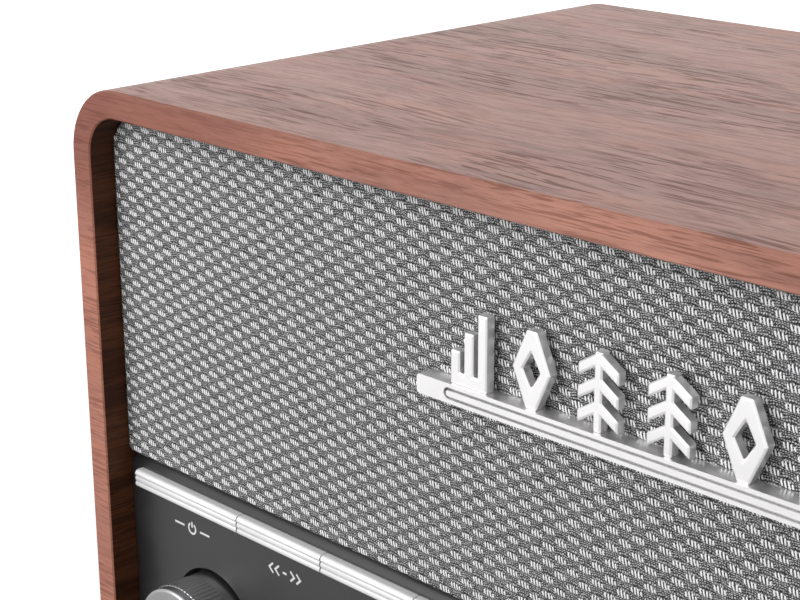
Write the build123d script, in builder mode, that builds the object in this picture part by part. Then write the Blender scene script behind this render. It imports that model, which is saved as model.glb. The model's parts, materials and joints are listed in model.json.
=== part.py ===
from build123d import *
import math
import os

# Digital table radio with a wrapped wooden cabinet, a cloth grille and a row of keys.
# Millimetres. X runs along the width, +Y towards the back, +Z up, and the front faces -Y.
# The origin is on the surface that the feet stand on, below the middle of the whole radio.

# Cabinet
cabinet_width = 400
cabinet_depth = 210
cabinet_height = 200
board = 8
corner_radius = 20
edge_break = 0.4
foot_height = 6
foot_radius = 9
foot_inset = 28

# Front: depths are counted from the cabinet's front edge
panel_recess = 9
cloth_recess = 8.2
panel_height = 78.7
grille_gap = 1.3
fit_gap = 0.3

# Grille and badge
cloth_thickness = 0.4
cloth_low_radius = 2
baffle_recess = 14
baffle_thickness = 12
peg_radius = 3
peg_length = 6
peg_from_centre = 75
peg_from_side = 9
peg_from_edge = 8
badge_length = 130
badge_height = 5
badge_recess = 3.2
badge_below_top = 52.7
badge_slot_inset = 9
badge_slot_depth = 1
badge_rim = 1
badge_rib = 1.5
badge_pin_radius = 1.2
badge_pin_x = 20
badge_pin_length = 9
motif_height = 19
motif_width = 11.6
motif_pitch = 19.5
motif_recess = 3.9
motif_thickness = 2.8
motif_stroke = 3.2
motif_round = 0.4

# Control panel and its keys
panel_wall = 3
panel_ledge = 2.1
skirt_wall = 1.6
skirt_depth = 17
key_count = 10
end_key_length = 47.1
key_row_inset = 4.7
key_drop = 3.1
key_height = 5.2
key_stand = 2.6
key_nose_radius = 1.3
key_gap = 0.5
key_groove = 0.45
key_clearance = 0.25
key_lip = 0.8
key_lip_thickness = 1
key_travel = 0.8
stem_radius = 1.5
switch_size = 6
switch_height = 3.5
switch_bore_clearance = 0.3
switch_floor = 0.6
key_board_recess = 20.5
key_board_thickness = 1.6
key_board_height = 15
board_boss_radius = 2.5
board_boss_drop = 8
board_boss_inset = 22.3

# Display
window_width = 120
window_height = 38
window_lip = 2
lens_thickness = 1.2
lens_gap = 0.2
screen_thickness = 5
screen_board_border = 3
screen_board_thickness = 1.6

# Knobs and their encoders
knob_inset = 45
knob_rise = 35
knob_radius = 16.2
knob_stand = 15
knob_ring_gap = 1.5
knob_skirt = 2
knob_face = 3
knob_boss_radius = 5.5
knob_edge = 1
well_wall = 1.5
well_depth = 6
well_floor = 2
knob_lift = 3
shaft_radius = 3
shaft_clearance = 0.08
bush_radius = 3.6
bush_clearance = 0.1
encoder_size = 14
encoder_depth = 7.5
encoder_chamber_radius = 4
nut_radius = 5.5
nut_thickness = 2
push_travel = 0.6
slider_radius = 3.6
slider_thickness = 1.2

# Loudspeakers
speaker_side_gap = 17.15
speaker_margin = 7
flange_width = 8.4
flange_thickness = 1.5
basket_depth = 22
basket_wall = 1.4
basket_collar = 3
basket_window = 22
magnet_radius = 31
magnet_depth = 18
pole_radius = 11
coil_radius = 12.6
coil_wall = 0.7
coil_gap = 1
cone_wall = 0.8
surround_width = 3.9
surround_clearance = 0.3
speaker_screw_radius = 1.5
speaker_screw_head = 2.6
speaker_screw_edge = 3.2
dust_cap_radius = 19

# Back
back_recess = 3
back_thickness = 4
rail_size = 12
rail_overrun = 15
block_length = 50
block_inset = 47
rail_groove = 0.1
screw_radius = 1.75
screw_head_radius = 3.4
screw_head_height = 1.8
screw_length = 14
screw_inset = 65
vent_count = 9
vent_width = 3
vent_height = 30
vent_pitch = 8
vent_rise = 118
port_inset = 75
port_rise = 56
port_radius = 17
port_wall = 2
port_length = 70
port_flange = 5
jack_plate_x = -15
jack_plate_width = 84
jack_plate_height = 30
jack_plate_thickness = 1.2
jack_spacing = 24
jack_radius = 4.15
jack_length = 9
jack_body = 12
jack_bore = 1.7
inlet_inset = 72
inlet_rise = 30
inlet_width = 26
inlet_height = 16
inlet_depth = 18
inlet_socket_radius = 4
inlet_pin_spacing = 8.6
inlet_pin_radius = 1.15
inlet_socket_depth = 12
switch_rise = 62
rocker_width = 10.4
rocker_reach = 7.7
rocker_tilt = 8
rocker_clearance = 0.3
rocker_frame_wall = 2.5
rocker_frame_depth = 12
rocker_pin_radius = 1

# Telescopic antenna, folded along the back
rear_reach = 12
antenna_inset = 35
antenna_drop = 28
antenna_base_radius = 9
antenna_stud_radius = 3
antenna_clearance = 0.1
knuckle_radius = 6.5
knuckle_thickness = 2.6
ear_radius = 4.5
ear_thickness = 2
ear_gap = 4.4
tongue_thickness = 4
tongue_radius = 3.9
tongue_length = 8
antenna_pin_radius = 1.2
tube_radius = 3.5
tube_wall = 0.6
tube_length = 150
middle_wall = 0.7
section_stagger = 4
section_seat = 7
tip_cap_radius = 3.2
tip_cap_length = 6
hook_from_end = 18
hook_width = 6
hook_wall = 2

# Inside: amplifier board, tuner can and transformer on the cabinet floor
main_board_x = -15
main_board_width = 150
main_board_depth = 92
main_board_thickness = 1.6
main_board_rise = 8
post_radius = 3
post_inset = 6
sink_x = 40
sink_width = 50
sink_height = 30
sink_fin_count = 9
sink_base = 4
sink_fin = 1.6
tuner_x = -62
tuner_width = 40
tuner_depth = 34
tuner_height = 12
capacitor_x = 5
capacitor_radius = 6.5
capacitor_height = 22
capacitor_pitch = 16
transformer_inset = 67
transformer_width = 52
transformer_depth = 34
transformer_height = 44
transformer_leg = 9
coil_overhang = 8
bracket_thickness = 2
bracket_foot = 12


# Places worked out from the sizes above
knob_reach = knob_stand - panel_recess
front_y = knob_reach - (cabinet_depth + rear_reach + knob_reach) / 2
back_y = front_y + cabinet_depth
base_z = foot_height
top_z = base_z + cabinet_height
mid_z = base_z + cabinet_height / 2
inner_width = cabinet_width - 2 * board
inner_height = cabinet_height - 2 * board
inner_radius = corner_radius - board
floor_z = base_z + board
ceiling_z = top_z - board
fitted_width = inner_width - 2 * fit_gap
fitted_radius = inner_radius - fit_gap

panel_y = front_y + panel_recess
panel_back_y = panel_y + panel_wall
panel_top_z = floor_z + panel_height
panel_bottom_z = floor_z + fit_gap
grille_bottom_z = panel_top_z + grille_gap
grille_top_z = ceiling_z - fit_gap
grille_height = grille_top_z - grille_bottom_z
grille_mid_z = (grille_top_z + grille_bottom_z) / 2
cloth_y = front_y + cloth_recess
frame_y = cloth_y + cloth_thickness
baffle_y = front_y + baffle_recess
peg_places = [
    (side * x, grille_mid_z + end * (grille_height / 2 - peg_from_edge))
    for x in (peg_from_centre, fitted_width / 2 - peg_from_side)
    for side in (-1, 1)
    for end in (-1, 1)
]

key_z = panel_top_z - key_drop - key_height / 2
key_row_width = inner_width - 2 * key_row_inset
middle_key_length = (key_row_width - 2 * end_key_length) / (key_count - 2)
key_lengths = [end_key_length] + [middle_key_length] * (key_count - 2) + [end_key_length]
key_starts = [-key_row_width / 2 + sum(key_lengths[:i]) for i in range(key_count)]
key_centres = [start + length / 2 for start, length in zip(key_starts, key_lengths)]
lip_y = panel_back_y + key_lip_thickness
key_board_y = front_y + key_board_recess
switch_y = key_board_y - switch_height
stem_end_y = key_board_y - switch_floor - key_travel - fit_gap
board_boss_z = key_z - board_boss_drop
board_boss_spacing = (key_row_width - 2 * board_boss_inset) / 3

knob_x = cabinet_width / 2 - knob_inset
knob_z = floor_z + knob_rise
knob_front_y = panel_y - knob_stand
well_radius = knob_radius + knob_ring_gap
well_floor_y = panel_y + well_depth
encoder_y = well_floor_y + well_floor
knob_back_y = panel_y + knob_lift
shaft_front_y = knob_front_y + knob_face
bush_front_y = knob_back_y + push_travel + fit_gap
window_z = knob_z

flange_radius = grille_height / 2 - speaker_margin
speaker_x = inner_width / 2 - speaker_side_gap - flange_radius
flange_inner = flange_radius - flange_width
flange_y = baffle_y - flange_thickness
basket_end_y = baffle_y + basket_depth
basket_end_radius = magnet_radius - 0.5
screw_circle = flange_radius - speaker_screw_edge
baffle_hole_radius = flange_inner + basket_wall + fit_gap

back_outer_y = back_y - back_recess
back_inner_y = back_outer_y - back_thickness
screw_spacing = cabinet_width / 2 - screw_inset
block_x = cabinet_width / 2 - block_inset
rail_length = 2 * (screw_spacing + rail_overrun)
port_x = port_inset - cabinet_width / 2
inlet_x = cabinet_width / 2 - inlet_inset
antenna_x = cabinet_width / 2 - antenna_inset
antenna_z = top_z - antenna_drop
rod_y = back_y + rear_reach - ear_radius
tube_start_x = antenna_x - tongue_length
tube_end_x = tube_start_x - tube_length
hook_x = tube_end_x + hook_from_end
tube_bore = tube_radius - tube_wall
middle_radius = tube_bore - antenna_clearance
middle_bore = middle_radius - middle_wall
tip_radius = middle_bore - antenna_clearance
seat_x = tube_start_x - section_seat
middle_end_x = tube_end_x - section_stagger
tip_end_x = middle_end_x - section_stagger

transformer_x = inner_width / 2 - transformer_inset
main_board_z = floor_z + main_board_rise
main_board_top_z = main_board_z + main_board_thickness
jack_z = main_board_top_z + jack_body / 2
main_board_back_y = back_inner_y - jack_plate_thickness - 1
main_board_y = main_board_back_y - main_board_depth / 2


def upright(y):
    """An upright plane that faces the front at depth y: its x is X and its y is Z."""
    return Plane.XZ.offset(-y)


def across(x):
    """An upright plane that faces +X at the given x: its x is Y and its y is Z."""
    return Plane.YZ.offset(x)


def level(z):
    """A level plane at height z."""
    return Plane.XY.offset(z)


def low_corners(sketch):
    """The two lowest corners of a sketch on an upright plane."""
    return sketch.vertices().group_by(Axis.Y)[0]


def high_corners(sketch):
    """The two highest corners of a sketch on an upright plane."""
    return sketch.vertices().group_by(Axis.Y)[-1]


os.makedirs("parts", exist_ok=True)
pieces = {}


def keep(part, name):
    """Names a finished piece, notes it and writes it out."""
    part.label = name
    pieces[name] = part
    export_step(part, f"parts/{name}.step")


# Wrapped wooden shell: a rounded tube, open at the front and the back
with BuildPart() as cabinet_shell:
    with BuildSketch(upright(front_y)):
        with Locations((0, mid_z)):
            RectangleRounded(cabinet_width, cabinet_height, corner_radius)
            RectangleRounded(inner_width, inner_height, inner_radius, mode=Mode.SUBTRACT)
    extrude(amount=-cabinet_depth)
    chamfer(cabinet_shell.edges().group_by(Axis.Y)[0], edge_break)
    chamfer(cabinet_shell.edges().group_by(Axis.Y)[-1], edge_break)
keep(cabinet_shell.part, "cabinet_shell")

# Four rubber feet, a little narrower where they touch the surface
with BuildPart() as feet:
    foot_places = GridLocations(
        cabinet_width - 2 * foot_inset, cabinet_depth - 2 * foot_inset, 2, 2
    )
    with BuildSketch(level(0)):
        with Locations((0, (front_y + back_y) / 2)):
            with foot_places:
                Circle(foot_radius)
    extrude(amount=foot_height)
    chamfer(feet.edges().group_by(Axis.Z)[0], edge_break * 2)
keep(feet.part, "feet")

# Baffle board with the loudspeaker holes and sockets for the grille's pegs
with BuildPart() as baffle_board:
    with BuildSketch(upright(baffle_y)) as baffle_outline:
        with Locations((0, (grille_bottom_z + grille_top_z) / 2)):
            Rectangle(fitted_width, grille_height)
        fillet(high_corners(baffle_outline), fitted_radius)
    extrude(amount=-baffle_thickness)
    with BuildSketch(upright(baffle_y)):
        with Locations((-speaker_x, grille_mid_z), (speaker_x, grille_mid_z)):
            Circle(baffle_hole_radius)
            with PolarLocations(screw_circle, 4, start_angle=45):
                Circle(speaker_screw_radius + fit_gap / 6)
        with Locations(peg_places):
            Circle(peg_radius + fit_gap / 3)
    extrude(amount=-baffle_thickness, mode=Mode.SUBTRACT)
keep(baffle_board.part, "baffle_board")

# Grille frame: a plate with a round window before each loudspeaker, on eight pegs
with BuildPart() as grille_frame:
    with BuildSketch(upright(frame_y)) as frame_outline:
        with Locations((0, grille_mid_z)):
            Rectangle(fitted_width, grille_height)
        fillet(high_corners(frame_outline), fitted_radius)
        fillet(low_corners(frame_outline), cloth_low_radius)
        with Locations((-speaker_x, grille_mid_z), (speaker_x, grille_mid_z)):
            Circle(flange_radius + 1, mode=Mode.SUBTRACT)
        with Locations(
            (-badge_pin_x, top_z - badge_below_top - badge_height / 2),
            (badge_pin_x, top_z - badge_below_top - badge_height / 2),
        ):
            Circle(badge_pin_radius + fit_gap / 3, mode=Mode.SUBTRACT)
    extrude(amount=frame_y - baffle_y)
    with BuildSketch(upright(baffle_y)):
        with Locations(peg_places):
            Circle(peg_radius)
    extrude(amount=-peg_length)
keep(grille_frame.part, "grille_frame")

# Cloth stretched over the grille frame
with BuildPart() as grille_cloth:
    with BuildSketch(upright(cloth_y)) as cloth_outline:
        with Locations((0, grille_mid_z)):
            Rectangle(fitted_width, grille_height)
        fillet(high_corners(cloth_outline), fitted_radius)
        fillet(low_corners(cloth_outline), cloth_low_radius)
        with Locations(
            (-badge_pin_x, top_z - badge_below_top - badge_height / 2),
            (badge_pin_x, top_z - badge_below_top - badge_height / 2),
        ):
            Circle(badge_pin_radius + fit_gap / 3, mode=Mode.SUBTRACT)
    extrude(amount=-cloth_thickness)
keep(grille_cloth.part, "grille_cloth")

# Badge bar: a slim cast bar with a long slot and a raised rib in the slot
badge_y = front_y + badge_recess
badge_top_z = top_z - badge_below_top
badge_z = badge_top_z - badge_height / 2
with BuildPart() as badge_bar:
    with BuildSketch(upright(badge_y)):
        with Locations((0, badge_z)):
            RectangleRounded(badge_length, badge_height, badge_rim)
    extrude(amount=badge_y - cloth_y)
    slot_height = badge_height - 2 * badge_rim
    slot_length = badge_length - 2 * badge_slot_inset
    with BuildSketch(upright(badge_y)):
        with Locations((0, badge_z)):
            SlotOverall(slot_length, slot_height)
            SlotOverall(slot_length - badge_rib, badge_rib, mode=Mode.SUBTRACT)
    extrude(amount=-badge_slot_depth, mode=Mode.SUBTRACT)
    with BuildSketch(upright(cloth_y)):
        with Locations((-badge_pin_x, badge_z), (badge_pin_x, badge_z)):
            Circle(badge_pin_radius)
    extrude(amount=badge_slot_depth - badge_pin_length + cloth_y - badge_y)
keep(badge_bar.part, "badge_bar")


def stepped_motif(x, side):
    """Three upright bars on a foot, taller towards the middle of the badge."""
    bar_width = motif_stroke * 0.92
    bar_pitch = (motif_width - bar_width) / 2
    for step, share in enumerate((0.45, 0.72, 1)):
        height = motif_height * share
        with Locations((x + side * bar_pitch * (1 - step), badge_top_z + height / 2)):
            Rectangle(bar_width, height)
    with Locations((x, badge_top_z + motif_stroke / 2)):
        Rectangle(motif_width, motif_stroke)


def diamond_motif(x):
    """A tall diamond ring with a flat foot."""
    with Locations((x, badge_top_z + motif_height / 2)):
        outer = [
            (-motif_width / 2, 0),
            (-motif_stroke / 2, motif_height / 2),
            (motif_stroke / 2, motif_height / 2),
            (motif_width / 2, 0),
            (motif_stroke / 2, -motif_height / 2),
            (-motif_stroke / 2, -motif_height / 2),
        ]
        Polygon(*outer)
        hollow = [
            (-motif_width / 2 + motif_stroke, 0),
            (0, motif_height / 2 - 1.6 * motif_stroke),
            (motif_width / 2 - motif_stroke, 0),
            (0, -motif_height / 2 + 1.6 * motif_stroke),
        ]
        Polygon(*hollow, mode=Mode.SUBTRACT)


def chevron_motif(x):
    """A post with three stacked chevrons."""
    with Locations((x, badge_top_z + motif_height / 2)):
        Rectangle(motif_stroke * 0.7, motif_height)
    rise = motif_width * 0.32
    for level_index in range(3):
        tip_z = badge_top_z + motif_height - level_index * motif_stroke * 1.75
        arm = [
            (-motif_width / 2, -rise),
            (0, 0),
            (motif_width / 2, -rise),
            (motif_width / 2, -rise - motif_stroke * 0.95),
            (0, -motif_stroke * 0.95),
            (-motif_width / 2, -rise - motif_stroke * 0.95),
        ]
        with Locations((x, tip_z)):
            Polygon(*arm, align=None)


# Six raised ornaments that stand on the badge bar, the right half mirroring the left
with BuildPart() as badge_motifs:
    with BuildSketch(upright(front_y + motif_recess)):
        for side in (-1, 1):
            chevron_motif(side * motif_pitch * 0.5)
            diamond_motif(side * motif_pitch * 1.5)
            stepped_motif(side * motif_pitch * 2.5, side)
    extrude(amount=-motif_thickness)
    chamfer(badge_motifs.faces().group_by(Axis.Y)[0].edges(), motif_round)
keep(badge_motifs.part, "badge_motifs")


# Control panel: a moulded tray with a ledge above the key slot, two knob wells and a window
with BuildPart() as control_panel:
    panel_mid_z = (panel_top_z + panel_bottom_z) / 2
    with BuildSketch(upright(panel_y)) as panel_outline:
        with Locations((0, panel_mid_z)):
            Rectangle(fitted_width, panel_top_z - panel_bottom_z)
        fillet(low_corners(panel_outline), fitted_radius)
    extrude(amount=-skirt_depth)
    chamfer(
        control_panel.faces().sort_by(Axis.Y)[0].edges().sort_by(Axis.Z)[-1],
        panel_ledge,
    )
    with BuildSketch(upright(panel_y + skirt_depth)) as tray_hollow:
        with Locations((0, panel_mid_z)):
            Rectangle(
                fitted_width - 2 * skirt_wall,
                panel_top_z - panel_bottom_z - 2 * skirt_wall,
            )
        fillet(low_corners(tray_hollow), fitted_radius - skirt_wall)
    extrude(amount=skirt_depth - panel_wall, mode=Mode.SUBTRACT)
    with BuildSketch(upright(panel_y)):
        with Locations((-knob_x, knob_z), (knob_x, knob_z)):
            Circle(well_radius + well_wall)
    extrude(amount=-(well_depth + well_floor))
    with BuildSketch(upright(panel_y)):
        with Locations((-knob_x, knob_z), (knob_x, knob_z)):
            Circle(well_radius)
    extrude(amount=-well_depth, mode=Mode.SUBTRACT)
    with BuildSketch(upright(panel_y)):
        with Locations((-knob_x, knob_z), (knob_x, knob_z)):
            Circle(bush_radius + bush_clearance)
    extrude(amount=-(well_depth + well_floor), mode=Mode.SUBTRACT)
    with BuildSketch(upright(panel_y)):
        with Locations((0, window_z)):
            Rectangle(window_width - 2 * window_lip, window_height - 2 * window_lip)
        with Locations((0, key_z)):
            Rectangle(key_row_width + 2 * key_clearance - key_gap, key_height + 2 * key_clearance)
    extrude(amount=-panel_wall, mode=Mode.SUBTRACT)
    with BuildSketch(upright(panel_y)):
        with Locations((0, window_z)):
            RectangleRounded(window_width, window_height, window_lip)
    extrude(amount=-lens_thickness, mode=Mode.SUBTRACT)
    with BuildSketch(upright(panel_back_y)):
        with Locations((0, board_boss_z)):
            with GridLocations(board_boss_spacing, 1, 4, 1):
                Circle(board_boss_radius)
    extrude(amount=panel_back_y - key_board_y)
keep(control_panel.part, "control_panel")

# Smoked window, flush in the panel's rebate
with BuildPart() as display_lens:
    with BuildSketch(upright(panel_y)):
        with Locations((0, window_z)):
            RectangleRounded(
                window_width - 2 * lens_gap, window_height - 2 * lens_gap, window_lip - lens_gap
            )
    extrude(amount=-lens_thickness)
keep(display_lens.part, "display_lens")

# Display: the screen's metal frame and glass on its own small board
with BuildPart() as display_module:
    with BuildSketch(upright(panel_back_y)):
        with Locations((0, window_z)):
            Rectangle(window_width, window_height)
    extrude(amount=-screen_thickness)
    with BuildSketch(upright(panel_back_y + screen_thickness)):
        with Locations((0, window_z)):
            Rectangle(
                window_width + 2 * screen_board_border, window_height + 2 * screen_board_border
            )
    extrude(amount=-screen_board_thickness)
keep(display_module.part, "display_module")

# Board behind the keys
with BuildPart() as key_board:
    with BuildSketch(upright(key_board_y)):
        with Locations((0, key_z + switch_size / 2 - key_board_height / 2)):
            Rectangle(key_row_width - end_key_length / 2, key_board_height)
    extrude(amount=-key_board_thickness)
keep(key_board.part, "key_board")

# One small push switch behind each key, with a bore that the key's stem enters
with BuildPart() as key_switches:
    switch_places = [(x, key_z) for x in key_centres]
    with BuildSketch(upright(key_board_y)):
        with Locations(switch_places):
            Rectangle(switch_size, switch_size)
    extrude(amount=switch_height)
    with BuildSketch(upright(switch_y)):
        with Locations(switch_places):
            Circle(stem_radius + switch_bore_clearance)
    extrude(amount=-(switch_height - switch_floor), mode=Mode.SUBTRACT)
keep(key_switches.part, "key_switches")


# The key's end view has three rounded ridges on its front, the top one with a rounded nose
key_low_z = key_z - key_height / 2
key_high_z = key_z + key_height / 2
ridge = key_height / 3
key_face_y = panel_y - key_stand
groove_y = key_face_y + key_groove
nose_z = key_high_z - key_nose_radius
nose_slant = key_nose_radius * math.sqrt(0.5)

# Ten keys: each a ridged cap with a lip that holds it behind the panel and a stem
for number, (start, length) in enumerate(zip(key_starts, key_lengths), 1):
    cap_start = start + key_gap / 2
    cap_length = length - key_gap
    with BuildPart() as key:
        with BuildSketch(across(cap_start)):
            with BuildLine():
                for step in range(2):
                    low_z = key_low_z + step * ridge
                    ThreePointArc(
                        (groove_y, low_z), (key_face_y, low_z + ridge / 2), (groove_y, low_z + ridge)
                    )
                RadiusArc((groove_y, key_high_z - ridge), (key_face_y, nose_z), ridge / 2)
                ThreePointArc(
                    (key_face_y, nose_z),
                    (key_face_y + key_nose_radius - nose_slant, nose_z + nose_slant),
                    (key_face_y + key_nose_radius, key_high_z),
                )
                Polyline(
                    (key_face_y + key_nose_radius, key_high_z),
                    (panel_back_y, key_high_z),
                    (panel_back_y, key_low_z),
                    (groove_y, key_low_z),
                )
            make_face()
        extrude(amount=cap_length)
        with BuildSketch(upright(panel_back_y)):
            with Locations((start + length / 2, key_z)):
                Rectangle(cap_length, key_height + 2 * key_lip)
        extrude(amount=-key_lip_thickness)
        with BuildSketch(upright(lip_y)):
            with Locations((start + length / 2, key_z)):
                Circle(stem_radius)
        extrude(amount=lip_y - stem_end_y)
    keep(key.part, f"key_{number:02d}")


for side, name in ((-1, "volume"), (1, "tuning")):
    x = side * knob_x
    shaft_back_y = encoder_y + encoder_depth / 2

    # Knob: a deep cap with a central boss that grips the shaft
    with BuildPart() as knob:
        with BuildSketch(upright(knob_front_y)):
            with Locations((x, knob_z)):
                Circle(knob_radius)
        extrude(amount=knob_front_y - knob_back_y)
        fillet(knob.edges().group_by(Axis.Y)[0], knob_edge)
        with BuildSketch(upright(knob_back_y)):
            with Locations((x, knob_z)):
                Circle(knob_radius - knob_skirt)
                Circle(knob_boss_radius, mode=Mode.SUBTRACT)
        extrude(amount=knob_back_y - shaft_front_y, mode=Mode.SUBTRACT)
        with BuildSketch(upright(knob_back_y)):
            with Locations((x, knob_z)):
                Circle(shaft_radius + shaft_clearance / 2)
        extrude(amount=knob_back_y - shaft_front_y, mode=Mode.SUBTRACT)
    keep(knob.part, f"{name}_knob")

    # Shaft, from inside the knob to inside the encoder
    with BuildPart() as shaft:
        with BuildSketch(upright(shaft_front_y)):
            with Locations((x, knob_z)):
                Circle(shaft_radius)
        extrude(amount=shaft_front_y - shaft_back_y)
    keep(shaft.part, f"{name}_shaft")

    # Encoder: a square body behind the well's floor, with a bush through the floor
    with BuildPart() as encoder:
        with BuildSketch(upright(encoder_y)):
            with Locations((x, knob_z)):
                Rectangle(encoder_size, encoder_size)
        extrude(amount=-encoder_depth)
        with BuildSketch(upright(encoder_y)):
            with Locations((x, knob_z)):
                Circle(bush_radius)
        extrude(amount=encoder_y - bush_front_y)
        with BuildSketch(upright(bush_front_y)):
            with Locations((x, knob_z)):
                Circle(shaft_radius + shaft_clearance)
        extrude(amount=bush_front_y - shaft_back_y, mode=Mode.SUBTRACT)
        with BuildSketch(upright(shaft_back_y)):
            with Locations((x, knob_z)):
                Circle(encoder_chamber_radius)
        extrude(
            amount=-(slider_thickness + push_travel + fit_gap), mode=Mode.SUBTRACT
        )
    keep(encoder.part, f"{name}_encoder")

# Slider inside the tuning encoder: pushing the knob moves it onto the encoder's push switch
with BuildPart() as tuning_push_slider:
    with BuildSketch(upright(encoder_y + encoder_depth / 2)):
        with Locations((knob_x, knob_z)):
            Circle(slider_radius)
    extrude(amount=-slider_thickness)
keep(tuning_push_slider.part, "tuning_push_slider")

# Two hexagon nuts that clamp the encoders to the well floors
with BuildPart() as encoder_nuts:
    with BuildSketch(upright(well_floor_y)):
        with Locations((-knob_x, knob_z), (knob_x, knob_z)):
            RegularPolygon(nut_radius, 6)
            Circle(bush_radius + bush_clearance, mode=Mode.SUBTRACT)
    extrude(amount=nut_thickness)
keep(encoder_nuts.part, "encoder_nuts")


for side, name in ((-1, "left"), (1, "right")):
    x = side * speaker_x
    axis = Axis((x, 0, grille_mid_z), (0, 1, 0))

    # Pressed steel basket: flange, sloping wall with four windows, and rear plate
    with BuildPart() as speaker_frame:
        with BuildSketch(level(grille_mid_z)):
            with BuildLine():
                Polyline(
                    (x + flange_inner, flange_y),
                    (x + flange_radius, flange_y),
                    (x + flange_radius, baffle_y),
                    (x + flange_inner + basket_wall, baffle_y),
                    (x + flange_inner + basket_wall, baffle_y + basket_collar),
                    (x + basket_end_radius, basket_end_y - basket_wall),
                    (x + basket_end_radius, basket_end_y),
                    (x + coil_radius + coil_gap, basket_end_y),
                    (x + coil_radius + coil_gap, basket_end_y - basket_wall),
                    (x + basket_end_radius - basket_wall, basket_end_y - basket_wall),
                    (x + flange_inner, baffle_y + basket_collar),
                    close=True,
                )
            make_face()
        revolve(axis=axis)
        window_depth = basket_depth - basket_collar - 4 * basket_wall
        window_y = baffle_y + (basket_depth + basket_collar) / 2
        with Locations((x, window_y, grille_mid_z)):
            Box(2 * flange_radius, window_depth, basket_window, mode=Mode.SUBTRACT)
            Box(basket_window, window_depth, 2 * flange_radius, mode=Mode.SUBTRACT)
        with BuildSketch(upright(flange_y)):
            with Locations((x, grille_mid_z)):
                with PolarLocations(screw_circle, 4, start_angle=45):
                    Circle(speaker_screw_radius + fit_gap / 2)
        extrude(amount=-flange_thickness, mode=Mode.SUBTRACT)
    keep(speaker_frame.part, f"{name}_speaker_frame")

    # Magnet with its pole piece: the ring gap between them takes the voice coil
    with BuildPart() as speaker_magnet:
        gap_floor_y = basket_end_y + magnet_depth - 3
        with BuildSketch(level(grille_mid_z)):
            with BuildLine():
                Polyline(
                    (x + coil_radius + coil_gap, basket_end_y),
                    (x + magnet_radius, basket_end_y),
                    (x + magnet_radius, basket_end_y + magnet_depth),
                    (x, basket_end_y + magnet_depth),
                    (x, basket_end_y),
                    (x + pole_radius, basket_end_y),
                    (x + pole_radius, gap_floor_y),
                    (x + coil_radius + coil_gap, gap_floor_y),
                    close=True,
                )
            make_face()
        revolve(axis=axis)
    keep(speaker_magnet.part, f"{name}_speaker_magnet")

    # Paper cone with its dust cap and the voice coil's former
    cone_radius = flange_inner - surround_clearance - surround_width - cone_wall
    cone_front_y = baffle_y
    cone_back_y = basket_end_y - 5
    coil_end_y = gap_floor_y - 6
    coil_inner = coil_radius - coil_wall
    cap_centre_y = cone_back_y - cone_wall + math.sqrt(dust_cap_radius**2 - coil_inner**2)
    cap_inner_radius = dust_cap_radius - cone_wall
    cap_end_y = cap_centre_y - math.sqrt(cap_inner_radius**2 - coil_inner**2)
    cap_mid_x = coil_inner / 2
    cap_mid_y = cap_centre_y - math.sqrt(dust_cap_radius**2 - cap_mid_x**2)
    cap_mid_inner_y = cap_centre_y - math.sqrt(cap_inner_radius**2 - cap_mid_x**2)
    with BuildPart() as speaker_cone:
        with BuildSketch(level(grille_mid_z)):
            with BuildLine():
                ThreePointArc(
                    (x, cap_centre_y - dust_cap_radius),
                    (x + cap_mid_x, cap_mid_y),
                    (x + coil_inner, cone_back_y - cone_wall),
                )
                Polyline(
                    (x + coil_inner, cone_back_y - cone_wall),
                    (x + cone_radius, cone_front_y),
                    (x + cone_radius + cone_wall, cone_front_y + cone_wall / 2),
                    (x + coil_radius, cone_back_y + cone_wall / 2),
                    (x + coil_radius, coil_end_y),
                    (x + coil_inner, coil_end_y),
                    (x + coil_inner, cap_end_y),
                )
                ThreePointArc(
                    (x + coil_inner, cap_end_y),
                    (x + cap_mid_x, cap_mid_inner_y),
                    (x, cap_centre_y - cap_inner_radius),
                )
                Line((x, cap_centre_y - cap_inner_radius), (x, cap_centre_y - dust_cap_radius))
            make_face()
        revolve(axis=axis)
    keep(speaker_cone.part, f"{name}_speaker_cone")

    # Rubber half roll round the cone
    surround_inner = cone_radius + cone_wall + fit_gap / 3
    surround_outer = surround_inner + surround_width - fit_gap / 3
    surround_mid = (surround_inner + surround_outer) / 2
    roll_height = surround_width / 2
    with BuildPart() as speaker_surround:
        with BuildSketch(level(grille_mid_z)):
            with BuildLine():
                ThreePointArc(
                    (x + surround_inner, cone_front_y),
                    (x + surround_mid, cone_front_y - roll_height),
                    (x + surround_outer, cone_front_y),
                )
                Line((x + surround_outer, cone_front_y), (x + surround_outer, cone_front_y + 0.5))
                Line(
                    (x + surround_outer, cone_front_y + 0.5),
                    (x + surround_outer - 0.6, cone_front_y + 0.5),
                )
                ThreePointArc(
                    (x + surround_outer - 0.6, cone_front_y + 0.5),
                    (x + surround_mid, cone_front_y - roll_height + 0.6),
                    (x + surround_inner + 0.6, cone_front_y + 0.5),
                )
                Line(
                    (x + surround_inner + 0.6, cone_front_y + 0.5),
                    (x + surround_inner, cone_front_y + 0.5),
                )
                Line((x + surround_inner, cone_front_y + 0.5), (x + surround_inner, cone_front_y))
            make_face()
        revolve(axis=axis)
    keep(speaker_surround.part, f"{name}_speaker_surround")

# Eight screws that hold the loudspeakers to the baffle
with BuildPart() as speaker_screws:
    with BuildSketch(upright(flange_y)):
        with Locations((-speaker_x, grille_mid_z), (speaker_x, grille_mid_z)):
            with PolarLocations(screw_circle, 4, start_angle=45):
                Circle(speaker_screw_head)
    extrude(amount=flange_thickness * 0.8)
    with BuildSketch(upright(flange_y)):
        with Locations((-speaker_x, grille_mid_z), (speaker_x, grille_mid_z)):
            with PolarLocations(screw_circle, 4, start_angle=45):
                Circle(speaker_screw_radius)
    extrude(amount=-(flange_thickness + baffle_thickness * 0.7))
keep(speaker_screws.part, "speaker_screws")


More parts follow.
